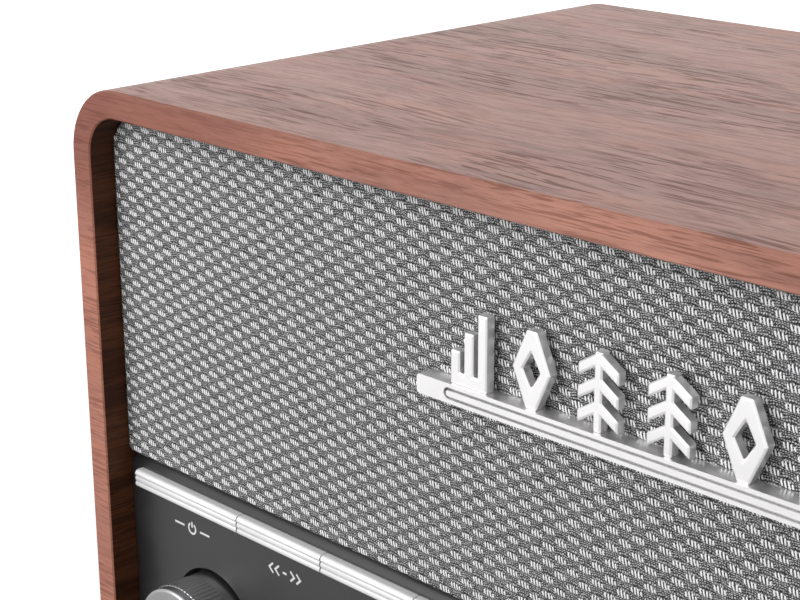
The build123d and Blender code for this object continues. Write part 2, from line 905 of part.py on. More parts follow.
# Back panel: moulded plate with every opening that the rear fittings need
low_rail_z = floor_z + rail_size / 2 + rail_groove
high_rail_z = ceiling_z - rail_size / 2 - rail_groove
screw_places = [(x, high_rail_z) for x in (-screw_spacing, 0, screw_spacing)]
screw_places += [(x, low_rail_z) for x in (-block_x, block_x)]
port_z = floor_z + port_rise
inlet_z = floor_z + inlet_rise
rocker_z = floor_z + switch_rise
rocker_room = math.hypot(rocker_reach, rocker_reach * 0.45) + rocker_clearance
rocker_hole_width = rocker_width + 2 * (rocker_clearance + rocker_frame_wall)
rocker_hole_height = 2 * (rocker_room + rocker_frame_wall)
with BuildPart() as back_panel:
    with BuildSketch(upright(back_inner_y)):
        with Locations((0, mid_z)):
            RectangleRounded(fitted_width, inner_height - 2 * fit_gap, fitted_radius)
        with Locations(screw_places):
            Circle(screw_radius + fit_gap, mode=Mode.SUBTRACT)
        with Locations((port_x, port_z)):
            Circle(port_radius + port_wall + fit_gap / 3, mode=Mode.SUBTRACT)
        with Locations((jack_plate_x, jack_z)):
            Rectangle(
                jack_plate_width - 2 * jack_radius,
                jack_plate_height - 2 * jack_radius,
                mode=Mode.SUBTRACT,
            )
        with Locations((inlet_x, inlet_z)):
            Rectangle(inlet_width, inlet_height, mode=Mode.SUBTRACT)
        with Locations((inlet_x, rocker_z)):
            Rectangle(rocker_hole_width, rocker_hole_height, mode=Mode.SUBTRACT)
        with Locations((antenna_x, antenna_z)):
            Circle(antenna_stud_radius + fit_gap, mode=Mode.SUBTRACT)
        with Locations((0, floor_z + vent_rise)):
            with GridLocations(vent_pitch, 1, vent_count, 1):
                SlotOverall(vent_height, vent_width, rotation=90, mode=Mode.SUBTRACT)
    extrude(amount=-back_thickness)
    hook_depth = rod_y + tube_radius - back_outer_y
    hook_top_z = antenna_z - tube_radius - fit_gap
    with BuildSketch(across(hook_x)):
        with Locations((back_outer_y + hook_depth / 2, hook_top_z - hook_wall / 2)):
            Rectangle(hook_depth, hook_wall)
        with BuildLine():
            Polyline(
                (back_outer_y, hook_top_z - hook_wall),
                (back_outer_y + hook_depth * 0.7, hook_top_z - hook_wall),
                (back_outer_y, hook_top_z - hook_wall - hook_depth * 0.7),
                close=True,
            )
        make_face()
    extrude(amount=hook_width)
keep(back_panel.part, "back_panel")

# Wooden rail under the shell's top and two blocks on its floor, which the back is screwed to
with BuildPart() as back_rails:
    rail_depth = screw_length + 4
    with BuildSketch(upright(back_inner_y)):
        with Locations((0, high_rail_z)):
            Rectangle(rail_length, rail_size)
        with Locations((-block_x, low_rail_z), (block_x, low_rail_z)):
            Rectangle(block_length, rail_size)
        with Locations(screw_places):
            Circle(screw_radius + fit_gap / 6, mode=Mode.SUBTRACT)
    extrude(amount=rail_depth)
keep(back_rails.part, "back_rails")

# Five screws that hold the back
with BuildPart() as back_screws:
    with BuildSketch(upright(back_outer_y)):
        with Locations(screw_places):
            Circle(screw_head_radius)
    extrude(amount=-screw_head_height)
    with BuildSketch(upright(back_outer_y)):
        with Locations(screw_places):
            Circle(screw_radius)
    extrude(amount=screw_length)
keep(back_screws.part, "back_screws")

# Bass port: a tube with a rolled mouth
with BuildPart() as bass_port:
    port_outer = port_radius + port_wall
    port_mouth_y = back_outer_y + port_wall
    with BuildSketch(level(port_z)):
        with BuildLine():
            Polyline(
                (port_x + port_radius, port_mouth_y - port_length),
                (port_x + port_outer, port_mouth_y - port_length),
                (port_x + port_outer, back_outer_y),
                (port_x + port_outer + port_flange, back_outer_y),
            )
            RadiusArc(
                (port_x + port_outer + port_flange, back_outer_y),
                (port_x + port_outer, port_mouth_y),
                port_flange * 1.5,
            )
            ThreePointArc(
                (port_x + port_outer, port_mouth_y),
                (port_x + port_radius + port_wall * 0.3, port_mouth_y - port_wall * 0.3),
                (port_x + port_radius, port_mouth_y - port_wall),
            )
            Line(
                (port_x + port_radius, port_mouth_y - port_wall),
                (port_x + port_radius, port_mouth_y - port_length),
            )
        make_face()
    revolve(axis=Axis((port_x, 0, port_z), (0, 1, 0)))
keep(bass_port.part, "bass_port")

# Jack plate, and the two phono sockets and the earphone socket that pass through it
jack_places = [(jack_plate_x + jack_spacing * i, jack_z) for i in (-1, 0, 1)]
plate_y = back_inner_y - jack_plate_thickness
with BuildPart() as jack_plate:
    with BuildSketch(upright(plate_y)):
        with Locations((jack_plate_x, jack_z)):
            Rectangle(jack_plate_width, jack_plate_height)
        with Locations(jack_places):
            Circle(jack_radius + fit_gap / 3, mode=Mode.SUBTRACT)
    extrude(amount=-jack_plate_thickness)
keep(jack_plate.part, "jack_plate")

with BuildPart() as rear_jacks:
    with BuildSketch(upright(plate_y)):
        with Locations(jack_places):
            Rectangle(jack_body, jack_body)
    extrude(amount=jack_body)
    with BuildSketch(upright(plate_y)):
        with Locations(jack_places):
            Circle(jack_radius)
    extrude(amount=-jack_length)
    with BuildSketch(upright(plate_y + jack_length)):
        with Locations(jack_places):
            Circle(jack_bore)
    extrude(amount=jack_length, mode=Mode.SUBTRACT)
keep(rear_jacks.part, "rear_jacks")

# Mains inlet: a two-pin socket with rounded ends
with BuildPart() as mains_inlet:
    with BuildSketch(upright(back_outer_y)):
        with Locations((inlet_x, inlet_z)):
            Rectangle(inlet_width - 2 * lens_gap, inlet_height - 2 * lens_gap)
    extrude(amount=inlet_depth)
    with BuildSketch(upright(back_outer_y)):
        with Locations((inlet_x, inlet_z)):
            Rectangle(inlet_width + 4, inlet_height + 4)
    extrude(amount=-1.5)
    with BuildSketch(upright(back_outer_y + 1.5)):
        with Locations((inlet_x, inlet_z)):
            SlotOverall(
                inlet_pin_spacing + 2 * inlet_socket_radius, 2 * inlet_socket_radius
            )
            with GridLocations(inlet_pin_spacing, 1, 2, 1):
                Circle(inlet_pin_radius, mode=Mode.SUBTRACT)
    extrude(amount=inlet_socket_depth, mode=Mode.SUBTRACT)
keep(mains_inlet.part, "mains_inlet")

# Power switch frame, with a well for the rocker
rocker_axis_y = back_outer_y - 1
with BuildPart() as switch_frame:
    with BuildSketch(upright(back_outer_y)):
        with Locations((inlet_x, rocker_z)):
            Rectangle(rocker_hole_width - 2 * lens_gap, rocker_hole_height - 2 * lens_gap)
    extrude(amount=rocker_frame_depth)
    with BuildSketch(upright(back_outer_y)):
        with Locations((inlet_x, rocker_z)):
            Rectangle(rocker_hole_width + 3, rocker_hole_height + 3)
    extrude(amount=-1.5)
    with BuildSketch(upright(back_outer_y + 1.5)):
        with Locations((inlet_x, rocker_z)):
            Rectangle(rocker_width + 2 * rocker_clearance, 2 * rocker_room)
    extrude(amount=rocker_frame_depth, mode=Mode.SUBTRACT)
    with BuildSketch(across(inlet_x - rocker_width / 2 - rocker_clearance - 1)):
        with Locations((rocker_axis_y, rocker_z)):
            Circle(rocker_pin_radius + shaft_clearance)
    extrude(amount=rocker_width + 2 * rocker_clearance + 2, mode=Mode.SUBTRACT)
keep(switch_frame.part, "switch_frame")


def tipped(reach_z, reach_y):
    """A point of the rocker's end view, with the rocker tipped to its rest side."""
    turn = math.radians(rocker_tilt)
    y = reach_y * math.cos(turn) - reach_z * math.sin(turn)
    z = reach_y * math.sin(turn) + reach_z * math.cos(turn)
    return (rocker_axis_y + y, rocker_z + z)


# Rocker: its face is two flats that meet in a shallow valley
with BuildPart() as switch_rocker:
    rocker_rim = rocker_reach * 0.45
    with BuildSketch(across(inlet_x - rocker_width / 2)):
        with BuildLine():
            Polyline(
                tipped(-rocker_reach, rocker_rim),
                tipped(0, rocker_rim * 0.6),
                tipped(rocker_reach, rocker_rim),
                tipped(rocker_reach, -1),
                tipped(rocker_reach * 0.6, -rocker_reach * 0.6),
                tipped(-rocker_reach * 0.6, -rocker_reach * 0.6),
                tipped(-rocker_reach, -1),
                close=True,
            )
        make_face()
    extrude(amount=rocker_width)
    with BuildSketch(across(inlet_x - rocker_width / 2 - rocker_clearance - 0.7)):
        with Locations((rocker_axis_y, rocker_z)):
            Circle(rocker_pin_radius)
    extrude(amount=rocker_width + 2 * rocker_clearance + 1.4)
keep(switch_rocker.part, "switch_rocker")


# Antenna base: a disc on the back panel with a stud each way
with BuildPart() as antenna_base:
    disc_end_y = back_outer_y + 2.6
    knuckle_y = disc_end_y + fit_gap
    with BuildSketch(upright(back_outer_y)):
        with Locations((antenna_x, antenna_z)):
            Circle(antenna_base_radius)
    extrude(amount=back_outer_y - disc_end_y)
    with BuildSketch(upright(back_inner_y - 4)):
        with Locations((antenna_x, antenna_z)):
            Circle(antenna_stud_radius)
    extrude(amount=back_inner_y - 4 - knuckle_y - knuckle_thickness + 1)
keep(antenna_base.part, "antenna_base")

# Knuckle: turns on the base's stud and carries the rod's tongue between two ears
with BuildPart() as antenna_knuckle:
    knuckle_end_y = knuckle_y + knuckle_thickness
    with BuildSketch(upright(knuckle_y)):
        with Locations((antenna_x, antenna_z)):
            Circle(knuckle_radius)
    extrude(amount=-knuckle_thickness)
    for end in (-1, 1):
        ear_z = antenna_z + end * (ear_gap + ear_thickness) / 2 - ear_thickness / 2
        with BuildSketch(level(ear_z)):
            with Locations((antenna_x, rod_y)):
                Circle(ear_radius)
            with Locations((antenna_x, (knuckle_end_y + rod_y) / 2)):
                Rectangle(2 * ear_radius, rod_y - knuckle_end_y)
        extrude(amount=ear_thickness)
    with BuildSketch(upright(knuckle_y)):
        with Locations((antenna_x, antenna_z)):
            Circle(antenna_stud_radius + antenna_clearance)
    extrude(amount=-(knuckle_thickness - 1 + antenna_clearance), mode=Mode.SUBTRACT)
    with BuildSketch(level(antenna_z - ear_gap / 2)):
        with Locations((antenna_x, rod_y)):
            Circle(antenna_pin_radius)
    extrude(amount=ear_gap)
keep(antenna_knuckle.part, "antenna_knuckle")

# Outer tube of the rod, with the flat tongue at its foot
with BuildPart() as antenna_tube:
    with BuildSketch(across(tube_end_x)):
        with Locations((rod_y, antenna_z)):
            Circle(tube_radius)
    extrude(amount=tube_length)
    with BuildSketch(level(antenna_z - tongue_thickness / 2)):
        with Locations((antenna_x, rod_y)):
            Circle(tongue_radius)
        with Locations((antenna_x - tongue_length / 2, rod_y)):
            Rectangle(tongue_length, 2 * tube_radius - 1)
        with Locations((antenna_x, rod_y)):
            Circle(antenna_pin_radius + antenna_clearance, mode=Mode.SUBTRACT)
    extrude(amount=tongue_thickness)
    with BuildSketch(across(tube_end_x)):
        with Locations((rod_y, antenna_z)):
            Circle(tube_bore)
    extrude(amount=seat_x - tube_end_x, mode=Mode.SUBTRACT)
keep(antenna_tube.part, "antenna_tube")

# Middle section
with BuildPart() as antenna_middle:
    with BuildSketch(across(middle_end_x)):
        with Locations((rod_y, antenna_z)):
            Circle(middle_radius)
            Circle(middle_bore, mode=Mode.SUBTRACT)
    extrude(amount=seat_x - fit_gap - middle_end_x)
keep(antenna_middle.part, "antenna_middle")

# Inner section with its end cap
with BuildPart() as antenna_tip:
    with BuildSketch(across(tip_end_x)):
        with Locations((rod_y, antenna_z)):
            Circle(tip_radius)
    extrude(amount=seat_x - fit_gap - tip_end_x)
    with BuildSketch(across(tip_end_x)):
        with Locations((rod_y, antenna_z)):
            Circle(tip_cap_radius)
    extrude(amount=-tip_cap_length)
    fillet(antenna_tip.edges().group_by(Axis.X)[0], tip_cap_radius * 0.6)
keep(antenna_tip.part, "antenna_tip")


# Amplifier board on four posts
with BuildPart() as main_board:
    with BuildSketch(level(main_board_z)):
        with Locations((main_board_x, main_board_y)):
            Rectangle(main_board_width, main_board_depth)
    extrude(amount=main_board_thickness)
keep(main_board.part, "main_board")

with BuildPart() as board_posts:
    with BuildSketch(level(floor_z)):
        with Locations((main_board_x, main_board_y - rail_size)):
            with GridLocations(
                main_board_width - 2 * post_inset,
                main_board_depth - 2 * post_inset - 2 * rail_size,
                2,
                2,
            ):
                Circle(post_radius)
    extrude(amount=main_board_rise)
keep(board_posts.part, "board_posts")

# Finned heat sink at the board's front edge
with BuildPart() as heat_sink:
    sink_depth = 14
    sink_y = main_board_y - main_board_depth / 2 + sink_depth / 2 + 4
    fin_pitch = (sink_width - sink_fin) / (sink_fin_count - 1)
    with BuildSketch(level(main_board_top_z)):
        with Locations((sink_x, sink_y - sink_depth / 2 + sink_base / 2)):
            Rectangle(sink_width, sink_base)
        with Locations((sink_x, sink_y)):
            with GridLocations(fin_pitch, 1, sink_fin_count, 1):
                Rectangle(sink_fin, sink_depth)
    extrude(amount=sink_height)
keep(heat_sink.part, "heat_sink")

# Screened tuner can
with BuildPart() as tuner_module:
    with BuildSketch(level(main_board_top_z)):
        with Locations((tuner_x, main_board_y)):
            Rectangle(tuner_width, tuner_depth)
    extrude(amount=tuner_height)
    fillet(tuner_module.edges().filter_by(Axis.Z), 1)
keep(tuner_module.part, "tuner_module")

# Reservoir capacitors
with BuildPart() as filter_capacitors:
    with BuildSketch(level(main_board_top_z)):
        with Locations((capacitor_x, main_board_y)):
            with GridLocations(capacitor_pitch, capacitor_pitch, 3, 2):
                Circle(capacitor_radius)
    extrude(amount=capacitor_height)
    fillet(filter_capacitors.edges().group_by(Axis.Z)[-1], 1)
keep(filter_capacitors.part, "filter_capacitors")

# Mains transformer: laminated core with a bracket, and its winding
transformer_y = back_inner_y - 75
with BuildPart() as transformer_core:
    with BuildSketch(upright(transformer_y)):
        with Locations((transformer_x, floor_z + transformer_height / 2)):
            Rectangle(transformer_width, transformer_height)
            window = (transformer_width - 4 * transformer_leg) / 2
            for side in (-1, 1):
                with Locations((side * (transformer_leg + window / 2), 0)):
                    Rectangle(window, transformer_height - 2 * transformer_leg, mode=Mode.SUBTRACT)
    extrude(amount=-transformer_depth)
    with BuildSketch(level(floor_z)):
        with Locations((transformer_x, transformer_y + transformer_depth / 2)):
            Rectangle(transformer_width + 2 * bracket_foot, transformer_depth)
    extrude(amount=bracket_thickness)
keep(transformer_core.part, "transformer_core")

with BuildPart() as transformer_winding:
    winding_height = transformer_height - 2 * transformer_leg - 2 * fit_gap
    with BuildSketch(level(floor_z + transformer_leg + fit_gap)):
        with Locations((transformer_x, transformer_y + transformer_depth / 2)):
            RectangleRounded(
                2 * transformer_leg + 2 * window - 2 * fit_gap,
                transformer_depth + 2 * coil_overhang,
                window / 2,
            )
            Rectangle(
                2 * transformer_leg + 2 * fit_gap / 3,
                transformer_depth + 2 * fit_gap / 3,
                mode=Mode.SUBTRACT,
            )
    extrude(amount=winding_height)
keep(transformer_winding.part, "transformer_winding")

print(len(pieces), "pieces")
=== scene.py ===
import json
import math

import bmesh
import bpy
import numpy as np
from mathutils import Matrix, Vector


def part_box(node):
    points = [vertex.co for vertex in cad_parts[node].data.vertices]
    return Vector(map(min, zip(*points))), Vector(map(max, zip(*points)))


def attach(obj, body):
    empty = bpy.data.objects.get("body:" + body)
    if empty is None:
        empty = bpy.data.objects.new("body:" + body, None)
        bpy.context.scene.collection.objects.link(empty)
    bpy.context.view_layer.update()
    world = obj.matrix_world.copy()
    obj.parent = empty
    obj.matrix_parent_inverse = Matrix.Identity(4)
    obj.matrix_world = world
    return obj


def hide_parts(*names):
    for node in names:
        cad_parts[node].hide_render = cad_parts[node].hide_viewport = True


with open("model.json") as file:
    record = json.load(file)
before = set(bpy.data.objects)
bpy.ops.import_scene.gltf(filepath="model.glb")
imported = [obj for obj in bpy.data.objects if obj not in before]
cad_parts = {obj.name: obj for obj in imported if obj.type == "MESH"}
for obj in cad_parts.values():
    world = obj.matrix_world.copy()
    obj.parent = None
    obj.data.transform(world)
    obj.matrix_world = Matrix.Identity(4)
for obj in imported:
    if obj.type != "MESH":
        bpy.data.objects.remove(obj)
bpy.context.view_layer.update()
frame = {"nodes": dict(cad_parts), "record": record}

nodes = frame["nodes"]
MM = 0.001
rng = np.random.RandomState(7)


# Camera at the photograph's viewing angle
CAMERA_PLACE = (0.2302, -0.3994, 0.3081)
CAMERA_YAW = math.radians(45.60)
CAMERA_PITCH = math.radians(18.11)
CAMERA_ROLL = math.radians(0.24)
LENS = 83.0
SENSOR = 36.0


def link(piece):
    """Puts an object into the scene."""
    bpy.context.scene.collection.objects.link(piece)
    return piece


def make_camera():
    """The camera looks towards -X and +Y, and down."""
    level = math.cos(CAMERA_PITCH)
    ahead = Vector(
        (-math.sin(CAMERA_YAW) * level, math.cos(CAMERA_YAW) * level, -math.sin(CAMERA_PITCH))
    )
    right = Vector((math.cos(CAMERA_YAW), math.sin(CAMERA_YAW), 0))
    down = ahead.cross(right)
    rolled_right = math.cos(CAMERA_ROLL) * right + math.sin(CAMERA_ROLL) * down
    rolled_down = -math.sin(CAMERA_ROLL) * right + math.cos(CAMERA_ROLL) * down
    data = bpy.data.cameras.new("camera")
    data.lens = LENS
    data.sensor_width = SENSOR
    data.clip_start = 0.01
    data.clip_end = 50
    camera = link(bpy.data.objects.new("camera", data))
    turn = Matrix((rolled_right, -rolled_down, -ahead)).transposed()
    camera.matrix_world = Matrix.Translation(CAMERA_PLACE) @ turn.to_4x4()
    bpy.context.scene.camera = camera


class Nodes:
    """Adds nodes to a node tree; a value is a number, a colour or another node's output socket."""

    def __init__(self, tree):
        self.tree = tree

    def feed(self, socket, value):
        if isinstance(value, bpy.types.NodeSocket):
            self.tree.links.new(value, socket)
        elif isinstance(value, tuple) and len(value) == 3 and socket.type == "RGBA":
            socket.default_value = (*value, 1)
        else:
            socket.default_value = value

    def add(self, kind, inputs=None, **settings):
        node = self.tree.nodes.new(kind)
        for key, value in settings.items():
            setattr(node, key, value)
        for key, value in (inputs or {}).items():
            self.feed(node.inputs[key], value)
        return node

    def math(self, operation, a, b=0.0):
        return self.add("ShaderNodeMath", {0: a, 1: b}, operation=operation).outputs[0]

    def times(self, value, *others):
        for other in others:
            value = self.math("MULTIPLY", value, other)
        return value

    def plus(self, value, *others):
        for other in others:
            value = self.math("ADD", value, other)
        return value

    def spread(self, value, low, high, to_low=0.0, to_high=1.0, soft=True):
        """Maps low to high onto another range, without going past its ends."""
        node = self.add(
            "ShaderNodeMapRange",
            {"Value": value, "From Min": low, "From Max": high, "To Min": to_low, "To Max": to_high},
            interpolation_type="SMOOTHSTEP" if soft else "LINEAR",
        )
        return node.outputs[0]

    def blend(self, share, a, b):
        """A number between a and b."""
        return self.add("ShaderNodeMix", {0: share, 2: a, 3: b}, data_type="FLOAT").outputs[0]


class Paint(Nodes):
    """A node material, with the place on the object in mm."""

    def __init__(self, name):
        self.material = bpy.data.materials.new(name)
        self.material.use_nodes = True
        super().__init__(self.material.node_tree)
        self.shader = self.tree.nodes["Principled BSDF"]
        place = self.add("ShaderNodeTexCoord").outputs["Object"]
        self.mm = self.stretched(place, (1000, 1000, 1000))
        self.x, self.y, self.z = self.split(self.mm)

    def stretched(self, vector, factors):
        node = self.add("ShaderNodeVectorMath", {0: vector, 1: factors}, operation="MULTIPLY")
        return node.outputs[0]

    def split(self, vector):
        node = self.add("ShaderNodeSeparateXYZ", {0: vector})
        return node.outputs[0], node.outputs[1], node.outputs[2]

    def noise(self, vector, scale=1.0, detail=2.0, roughness=0.5):
        node = self.add(
            "ShaderNodeTexNoise",
            {"Vector": vector, "Scale": scale, "Detail": detail, "Roughness": roughness},
        )
        return node.outputs[0]

    def drawn(self, along, one, two, length, width, detail=1.0, roughness=0.5):
        """Noise drawn out along the grain; its length and width are in mm."""
        place = self.add(
            "ShaderNodeCombineXYZ",
            {
                0: self.math("DIVIDE", along, length),
                1: self.math("DIVIDE", one, width),
                2: self.math("DIVIDE", two, width),
            },
        )
        return self.noise(place.outputs[0], 1, detail, roughness)

    def ramp(self, value, stops):
        """A colour from (place, colour) stops."""
        node = self.add("ShaderNodeValToRGB", {0: value})
        points = node.color_ramp.elements
        while len(points) < len(stops):
            points.new(0.5)
        for point, (where, colour) in zip(points, stops):
            point.position = where
            point.color = (*colour, 1)
        return node.outputs[0]

    def mix(self, share, a, b):
        """A colour between a and b."""
        return self.add("ShaderNodeMix", {0: share, 6: a, 7: b}, data_type="RGBA").outputs[2]

    def bump(self, height, distance, strength):
        inputs = {"Height": height, "Distance": distance, "Strength": strength}
        return self.add("ShaderNodeBump", inputs).outputs[0]

    def finish(self, **sockets):
        """Feeds the shader's sockets, named with _ for each space."""
        for key, value in sockets.items():
            self.feed(self.shader.inputs[key.replace("_", " ")], value)
        return self.material


# Places on the cabinet that its finish follows, in mm
CABINET_FRONT_Y = -108
INNER_HALF_WIDTH = 192
INNER_TOP_Z = 198


def grain(p, along, one, two):
    """Wood figure from a place along the grain and two places across it, all in mm."""
    sway = p.times(p.drawn(along, one, two, 110, 26), 8)
    one = p.plus(one, sway)
    broad = p.drawn(along, one, two, 120, 11, 2)
    fine = p.drawn(along, one, two, 16, 1.1, 4, 0.7)
    zones = p.spread(p.drawn(along, one, two, 50, 14), 0.36, 0.60, 0.40, 1.0)
    wide = p.spread(p.drawn(along, one, two, 22, 1.0, 2, 0.65), 0.575, 0.64)
    thin = p.spread(p.drawn(along, one, two, 17, 0.55, 1), 0.555, 0.63)
    ticks = p.spread(p.drawn(along, one, two, 5, 0.42), 0.62, 0.74, 0, 0.45)
    tone = p.plus(p.times(broad, 0.4), p.times(fine, 0.6))
    dark = p.times(p.math("MAXIMUM", wide, thin), zones)
    return tone, p.math("MAXIMUM", dark, ticks)


def paint_front_edge_light_and_shade(p, colour, front_edge):
    """Painted light and shade on the boards' front edge: redder up the sides, paler in the middle and dark
    round the top corners.
    """
    aside = p.math("ABSOLUTE", p.x)
    upright = p.times(p.spread(aside, 186, 192), p.spread(p.z, 190, 170, 0, 0.35))
    colour = p.mix(p.times(front_edge, upright), colour, (0.50, 0.165, 0.096))
    # Painted light: the edge is paler towards the middle
    middle = p.spread(aside, 70, 10, 0, 0.40)
    colour = p.mix(p.times(front_edge, middle), colour, (0.56, 0.27, 0.20))
    # Painted shade round the top corners
    corner = p.times(p.spread(aside, 92, 150), p.spread(aside, 172, 188, 0.58, 0.78), p.spread(p.z, 150, 192))
    return p.mix(p.times(front_edge, corner), colour, (0.168, 0.028, 0.010))


def recess_shade(p, ny, dark):
    """Painted shade on the recess's walls, dark brown with bands: where it is, and its colour."""
    inside = p.times(
        p.spread(p.math("ABSOLUTE", p.x), INNER_HALF_WIDTH + 0.6, INNER_HALF_WIDTH + 0.2),
        p.spread(p.z, INNER_TOP_Z + 0.6, INNER_TOP_Z + 0.2),
        p.spread(p.math("ABSOLUTE", ny), 0.5, 0.3),
    )
    bands = p.spread(p.drawn(p.y, p.z, p.x, 60, 5, 2, 0.6), 0.36, 0.62)
    recess_shade_colour = p.mix(bands, (0.052, 0.018, 0.008), (0.108, 0.037, 0.016))
    # Painted shade: it is darkest under the top board
    recess_shade_colour = p.mix(p.spread(p.z, 165, 195, 0, 0.55), recess_shade_colour, (0.020, 0.008, 0.004))
    return inside, p.mix(p.times(dark, 0.6), recess_shade_colour, (0.012, 0.004, 0.002))


def walnut():
    """Reddish walnut veneer; its grain runs along the width, and along the depth on the side walls."""
    p = Paint("walnut")
    nx, ny = p.split(p.add("ShaderNodeNewGeometry").outputs["True Normal"])[:2]
    wall = p.spread(p.math("ABSOLUTE", nx), 0.62, 0.78)
    flat_tone, flat_dark = grain(p, p.x, p.times(p.y, 0.5), p.z)
    wall_tone, wall_dark = grain(p, p.y, p.z, p.x)
    tone = p.blend(wall, flat_tone, wall_tone)
    dark = p.blend(wall, flat_dark, wall_dark)
    # The narrow front edge of the boards has a calmer figure
    front_edge = p.spread(ny, -0.5, -0.8)
    dark = p.times(dark, p.blend(front_edge, 1.0, 0.62))
    colour = p.ramp(
        tone,
        [
            (0.32, (0.170, 0.062, 0.040)),
            (0.43, (0.270, 0.106, 0.072)),
            (0.52, (0.350, 0.146, 0.102)),
            (0.66, (0.450, 0.205, 0.150)),
        ],
    )
    tint = p.noise(p.stretched(p.mm, (0.02, 0.07, 0.07)), 1, 2)
    colour = p.mix(p.spread(tint, 0.50, 0.66, 0, 0.45), colour, (0.45, 0.165, 0.100))
    colour = p.mix(p.spread(tint, 0.46, 0.32, 0, 0.40), colour, (0.29, 0.145, 0.110))
    # Painted light and shade along the front edge
    colour = paint_front_edge_light_and_shade(p, colour, front_edge)
    # The veneer beside the front edge ends in a fine dark seam
    seam = p.times(
        p.spread(p.y, CABINET_FRONT_Y + 0.8, CABINET_FRONT_Y + 0.3), p.spread(ny, -0.3, 0.0), 0.45
    )
    colour = p.mix(seam, colour, (0.10, 0.036, 0.022))
    colour = p.mix(p.times(dark, 0.85), colour, (0.130, 0.036, 0.020))
    # Painted shade darkens the recess's walls
    inside, recess_shade_colour = recess_shade(p, ny, dark)
    colour = p.mix(inside, colour, recess_shade_colour)
    # The lacquer is thin over the dark streaks, and the recess walls with painted shade have none
    lacquer = p.times(p.blend(inside, 1.0, 0.0), p.blend(dark, 1.0, 0.22), 0.57)
    height = p.math("SUBTRACT", p.times(tone, 0.5), dark)
    return p.finish(
        Base_Color=colour,
        Roughness=p.spread(tone, 0.3, 0.7, 0.46, 0.38),
        Specular_IOR_Level=0.15,
        Coat_Weight=lacquer,
        Coat_Roughness=0.36,
        Normal=p.bump(height, 0.00004, 0.6),
    )


def bare_wood():
    """Fibre board: pale brown with small chips."""
    p = Paint("bare_wood")
    chips = p.noise(p.stretched(p.mm, (0.9, 2.2, 1.6)), 1, 5, 0.7)
    blotch = p.noise(p.mm, 0.05, 3)
    colour = p.ramp(
        chips,
        [(0.25, (0.30, 0.20, 0.115)), (0.5, (0.46, 0.33, 0.20)), (0.8, (0.58, 0.44, 0.29))],
    )
    colour = p.mix(p.spread(blotch, 0.35, 0.7, 0, 0.3), colour, (0.36, 0.25, 0.15))
    return p.finish(Base_Color=colour, Roughness=0.82, Normal=p.bump(chips, 0.0002, 0.5))


def moulded(name, dark, light, rough, scale, depth, level=0.5):
    """Moulded plastic with a fine eroded texture of a scale and depth, and faint blotches."""
    p = Paint(name)
    texture = p.noise(p.mm, scale, 4, 0.6)
    blotch = p.noise(p.mm, 0.06, 3, 0.6)
    return p.finish(
        Base_Color=p.mix(p.plus(p.times(texture, 0.5), p.times(blotch, 0.5)), dark, light),
        Roughness=p.spread(blotch, 0.3, 0.7, rough - 0.05, rough + 0.06),
        Specular_IOR_Level=level,
        Normal=p.bump(texture, depth, 0.6),
    )


def metal(name, dark, light, rough, stretch, depth, scale=3.0, metallic=1.0, groove_shade=None, top_light=None):
    """Metal with fine marks drawn out along one direction and faint clouding.

    A groove shade is painted shade in a groove: its mouth and bed as y, its highest z, and the share of the
    colour left in it.
    A top light is painted light on an upper rim: where the brighter rim starts and is full, as z, and its
    colour.
    """
    p = Paint(name)
    marks = p.noise(p.stretched(p.mm, stretch), scale, 3, 0.6)
    cloud = p.noise(p.mm, 0.08, 2)
    share = p.plus(p.times(marks, 0.6), p.times(cloud, 0.4))
    colour = p.mix(share, dark, light)
    if groove_shade:
        mouth_y, bed_y, top_z, left = groove_shade
        # Painted shade in the groove
        groove_shade_share = p.times(p.spread(p.y, mouth_y, bed_y), p.spread(p.z, top_z + 0.05, top_z))
        colour = p.mix(groove_shade_share, colour, tuple(left * (a + b) / 2 for a, b in zip(dark, light)))
    if top_light:
        # Painted light on the upper rim
        start_z, full_z, bright = top_light
        colour = p.mix(p.spread(p.z, start_z, full_z), colour, bright)
    return p.finish(
        Base_Color=colour,
        Metallic=metallic,
        Roughness=p.spread(share, 0.25, 0.75, rough - 0.05, rough + 0.07),
        Normal=p.bump(marks, depth, 0.5),
    )


# Weave of the grille cloth: white dots in shifted rows, on a ground of fine yarns; places and steps in mm
cloth_low, cloth_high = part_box("grille_cloth")
CLOTH_MIDDLE_Z = (cloth_low.z + cloth_high.z) / 2 / MM
CLOTH_FOOT_Z = cloth_low.z / MM
DOT_COLUMN = 3.75
DOT_ROW = 2.1
WEFT_STEP = 0.62
WARP_STEP = 0.70


